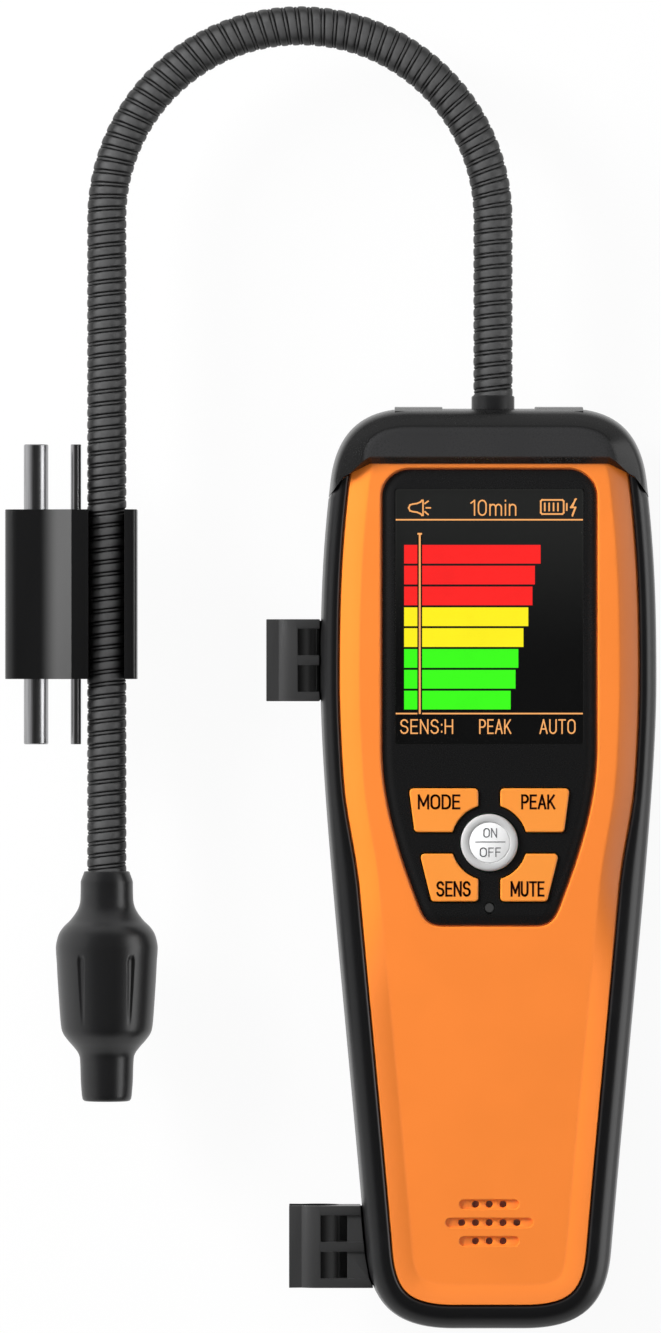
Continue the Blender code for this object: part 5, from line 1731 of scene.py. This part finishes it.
class DETECTOR_OT_neck(Operator):
    """Winds the ribbed neck along its loop"""

    bl_idname = "detector.neck"
    bl_label = "Neck"

    def execute(self, context):
        look = context.scene.detector_neck
        curve = bpy.data.curves.new("neck_surface", "CURVE")
        curve.dimensions = "3D"
        spline = curve.splines.new("POLY")
        route = neck_route()
        spline.points.add(len(route) - 1)
        for point, place in zip(spline.points, route):
            point.co = (*place, 1)
        guide = linked("neck_surface", curve)
        low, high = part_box("gooseneck")
        finish = strip_wound("neck_strip", look.colour)
        neck = neck_tree().run(
            guide,
            60,
            Radius=(high.z - low.z) / 2,
            Pitch=look.pitch,
            Groove_Depth=look.depth,
            Sides=look.sides,
            Material=finish,
        )
        settle(neck, "housing", "neck", "gooseneck")
        collar = moulded("collar_black", (0.012, 0.012, 0.0125), 0.42, depth=0.000003, specular=0.3)
        softened("neck_ferrule", collar, "housing", "collar", angle=40)
        softened("probe_fitting", collar, "housing", "collar", angle=40)
        return {"FINISHED"}


# The cap's section as (radius, distance from its top)
CAP_MOUTH = ((0.0049, 0.0), (0.0051, 0.00004), (0.0052, 0.0002), (0.0059, 0.0021))
CAP_SIDE = (
    (0.00597, 0.0024),
    (0.0060, 0.0050),
    (0.00615, 0.0072),
    (0.0068, 0.0090),
    (0.0083, 0.0111),
    (0.0099, 0.0127),
    (0.0110, 0.0144),
    (0.0116, 0.0168),
    (0.0116, 0.0186),
    (0.01145, 0.0210),
    (0.0113, 0.0240),
    (0.0109, 0.0300),
    (0.0105, 0.0350),
    (0.0100, 0.0370),
    (0.0088, 0.0387),
    (0.0074, 0.0403),
    (0.0064, 0.0418),
    (0.0061, 0.0436),
    (0.00595, 0.0480),
    (0.0057, 0.0512),
)
CAP_TIP = ((0.00555, 0.0520), (0.0052, 0.0524), (0.0048, 0.0525), (0.0020, 0.0525), (0.0018, 0.0523))
CAP_INSIDE = ((0.0044, 0.0400), (0.0088, 0.0350), (0.0098, 0.0182), (0.0050, 0.0109), (0.0050, 0.0006))
FLUTES = 6
FLUTE_TOP, FLUTE_END = 0.0192, 0.0346
FLUTE_DEPTH = 0.0005
FLUTE_TURN = (0.088, 0.040)  # half width at the top and at the end, in radians


def fluted(radius, distance, turn):
    """The cap's radius with its shallow flutes, which narrow and fade out downwards."""
    if radius < 0.0100 or not FLUTE_TOP < distance < FLUTE_END:
        return radius
    sector = math.tau / FLUTES
    off = abs((turn + sector / 2) % sector - sector / 2)
    share = (distance - FLUTE_TOP) / (FLUTE_END - FLUTE_TOP)
    width = mix(*FLUTE_TURN, share) * min(1.0, math.sqrt(share / 0.06))
    return radius - FLUTE_DEPTH * (1 - share) ** 0.7 * ease(off, width, width * 0.45)


class DETECTOR_OT_sensor_cap(Operator):
    """Makes the sensor cap with its flutes, and the filter in its tip"""

    bl_idname = "detector.sensor_cap"
    bl_label = "Sensor Cap"

    def execute(self, context):
        look = context.scene.detector_neck
        low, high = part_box("inlet_filter")
        tip = HEAD_Y - low.y + SEAT_GAP
        finish = rubber("cap_rubber", look.cap, 0.34, 0.5)
        place = (HEAD_X, HEAD_Y, NECK_Z)
        profile = [
            *CAP_MOUTH,
            *smooth_points(CAP_SIDE, 4),
            *CAP_TIP,
            (CAP_TIP[-1][0], tip),
            (0.0044, tip),
            *CAP_INSIDE,
        ]
        cap = lathe("sensor_cap_surface", profile, place, (0, -1, 0), finish, 360, fluted, 50)
        settle(cap, "cap", "cap", "sensor_cap")
        softened("inlet_filter", felted("filter_felt", (0.62, 0.60, 0.55)), "cap", "felt", angle=40)
        can = plated("sensor_can", (0.62, 0.60, 0.56), 0.28)
        softened("sensor_element", can, "housing", "steel", angle=40)
        return {"FINISHED"}


class DETECTOR_OT_clips(Operator):
    """Finishes the rod clip on the neck, its rods and the two hose clips"""

    bl_idname = "detector.clips"
    bl_label = "Clips"

    def execute(self, context):
        # Painted reflection: the clip block's ramp is painted light grey where it would reflect bright
        # light; past the ramp it is near black again.
        painted_ramp_highlight = ("X", HEAD_X - CLIP_RAMP[0], HEAD_X - mix(*CLIP_RAMP, 0.6), (0.115, 0.115, 0.115))
        painted_ramp_highlight = (*painted_ramp_highlight, HEAD_X - CLIP_RAMP[1])
        nylon = moulded("clip_nylon", (0.0065, 0.0065, 0.0068), 0.34, depth=0.00001, painted_light_ramp=painted_ramp_highlight)
        softened("probe_clip", nylon, "clip_block", "clip", 0.00025, 28)
        bar = polished_bar("polished_bar", (0.42, 0.42, 0.43), 0.30)
        softened("clip_rod_large", bar, "clip_block", "rod", 0.0003, 40)
        softened("clip_rod_small", bar, "clip_block", "rod", 0.00015, 40)
        # Painted shade: the hose clips are painted darker lower down, in their windows and below.
        shade = ("Z", NECK_Z + 0.0048, NECK_Z + 0.0008, (0.003, 0.003, 0.003))
        nylon = moulded("hose_clip_nylon", (0.043, 0.043, 0.0435), 0.38, depth=0.00001, painted_light_ramp=shade)
        for node in HOSE_CLIPS:
            softened(node, nylon, "housing", "clip", 0.0002, 28)
        return {"FINISHED"}


class DETECTOR_OT_fixings(Operator):
    """Makes the back's screws and finishes the solids inside"""

    bl_idname = "detector.fixings"
    bl_label = "Fixings"

    def execute(self, context):
        steel = plated("screw_steel", (0.45, 0.45, 0.46), 0.3)
        places = [(*face_centre(name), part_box(name)[0].z) for name in SCREWS]
        screws = screw_tree().run(points_piece("back_screws", places), Material=steel)
        settle(screws, "housing", "steel", *SCREWS)
        nodes = frame["nodes"]
        paint(nodes["main_board"], circuit_board("board_green", (0.01, 0.10, 0.035)))
        switch = moulded("switch_black", (0.02, 0.02, 0.02), 0.4)
        for name in ("mode", "peak", "sens", "mute", "power"):
            paint(nodes["switch_" + name], switch)
        paint(nodes["battery_cell"], moulded("cell_sleeve", (0.03, 0.10, 0.28), 0.3, depth=0.000004))
        tin = plated("tinned_case", (0.55, 0.55, 0.55), 0.35)
        for name in ("suction_pump", "speaker", "charge_port"):
            paint(nodes[name], tin)
        paint(nodes["air_tube"], rubber("tube_rubber", (0.25, 0.24, 0.22)))
        lens = moulded("lamp_lens", (0.045, 0.045, 0.045), 0.35, depth=0.000003)
        softened("status_led", lens, "housing", "lamp", angle=40)
        return {"FINISHED"}


class DETECTOR_OT_stage(Operator):
    """Sets the pale floor, the lamps, the sky and the camera"""

    bl_idname = "detector.stage"
    bl_label = "Stage"

    def execute(self, context):
        look = context.scene.detector_studio
        bm = bmesh.new()
        bmesh.ops.create_grid(bm, x_segments=1, y_segments=1, size=8.0)
        bmesh.ops.translate(bm, vec=(0, 0, -0.0001), verts=bm.verts)
        s = Surface("stage_floor")
        s.finish(Base_Color=look.floor, Roughness=0.9, Specular_IOR_Level=0.0)
        shine = s.add("ShaderNodeEmission", {}, {"Color": (1.0, 1.0, 1.0), "Strength": 1.0})
        plain = Link(s, s.shader.outputs[0])
        both = s.add("ShaderNodeMixShader", {}, {0: s.seen() * look.white, 1: plain, 2: shine})
        s.links.new(both.socket, s.nodes["Material Output"].inputs[0])
        new_piece("floor", bm, s.material)

        world = bpy.data.worlds.new("studio")
        world.use_nodes = True
        context.scene.world = world
        sky = Shading(world.node_tree)
        around = sky.add("ShaderNodeTexCoord", out="Generated")
        side = -sky.axis(around, "X")
        low = 1 - sky.axis(around, "Z")
        walls = low.between(0.25, 1.0).most(side.between(0.45, 0.95) * 0.8)
        room = look.ceiling + walls * (1 - look.ceiling)
        gloss = sky.add("ShaderNodeLightPath", out="Is Glossy Ray")
        plain = (1 - gloss) * sky.seen().most(look.sky)
        strength = gloss * room + plain
        sky.feed(sky.nodes["Background"].inputs["Color"], (1.0, 1.0, 1.0))
        sky.feed(sky.nodes["Background"].inputs["Strength"], strength)

        aim = Vector((-0.03, 0.04, 0.02))
        lamps = (
            ("key_lamp", look.key, (-0.842, 0.486, 0.516), 1.1, 0.5, False),
            ("top_lamp", look.top, (0.0, 0.0, 1.0), 1.3, 0.8, False),
            ("side_lamp", look.side, (0.99, 0.02, 0.14), 0.9, 1.1, True),
        )
        for name, power, way, distance, size, gloss_only in lamps:
            light = bpy.data.lights.new(name, "AREA")
            light.energy, light.size = power, size
            lamp = linked(name, light)
            lamp.location = aim + Vector(way) * distance
            lamp.rotation_euler = Vector(way).to_track_quat("Z", "Y").to_euler()
            lamp.visible_glossy = gloss_only
            lamp.visible_diffuse = not gloss_only
            lamp.visible_camera = False

        pixel = 0.0002275
        width, height = 661, 1333
        camera = bpy.data.cameras.new("photo_camera")
        camera.lens, camera.sensor_width = look.lens, 36.0
        distance = height * pixel * look.lens / camera.sensor_width
        camera.clip_start, camera.clip_end = 0.05, 60.0
        holder = linked("photo_camera", camera)
        holder.location = ((width / 2 - 489.0) * pixel, (869.0 - height / 2) * pixel, 0.030 + distance)
        context.scene.camera = holder
        context.scene.view_settings.view_transform = "Standard"
        return {"FINISHED"}


class DETECTOR_PT_looks(Panel):
    """Lists the sizes, the colours and the steps"""

    bl_label = "Leak Detector"
    bl_idname = "DETECTOR_PT_looks"
    bl_space_type = "VIEW_3D"
    bl_region_type = "UI"
    bl_category = "Leak Detector"

    def draw(self, context):
        for name, look in LOOKS.items():
            column = self.layout.box().column()
            for label in look.__annotations__:
                column.prop(getattr(context.scene, name), label)
        column = self.layout.column()
        for step in STEPS:
            column.operator(step.bl_idname)


STEPS = (
    DETECTOR_OT_front_shell,
    DETECTOR_OT_rear_shell,
    DETECTOR_OT_side_rim,
    DETECTOR_OT_hood,
    DETECTOR_OT_panel,
    DETECTOR_OT_screen,
    DETECTOR_OT_keys,
    DETECTOR_OT_power_key,
    DETECTOR_OT_neck,
    DETECTOR_OT_sensor_cap,
    DETECTOR_OT_clips,
    DETECTOR_OT_fixings,
    DETECTOR_OT_stage,
)


def register():
    for part in (*LOOKS.values(), *STEPS, DETECTOR_PT_looks):
        bpy.utils.register_class(part)
    for name, look in LOOKS.items():
        setattr(bpy.types.Scene, name, PointerProperty(type=look))


def unregister():
    for name in LOOKS:
        delattr(bpy.types.Scene, name)
    for part in (DETECTOR_PT_looks, *reversed(STEPS), *reversed(LOOKS.values())):
        bpy.utils.unregister_class(part)


def main():
    register()
    for step in STEPS:
        group, name = step.bl_idname.split(".")
        getattr(getattr(bpy.ops, group), name)()


if __name__ == "__main__":
    main()
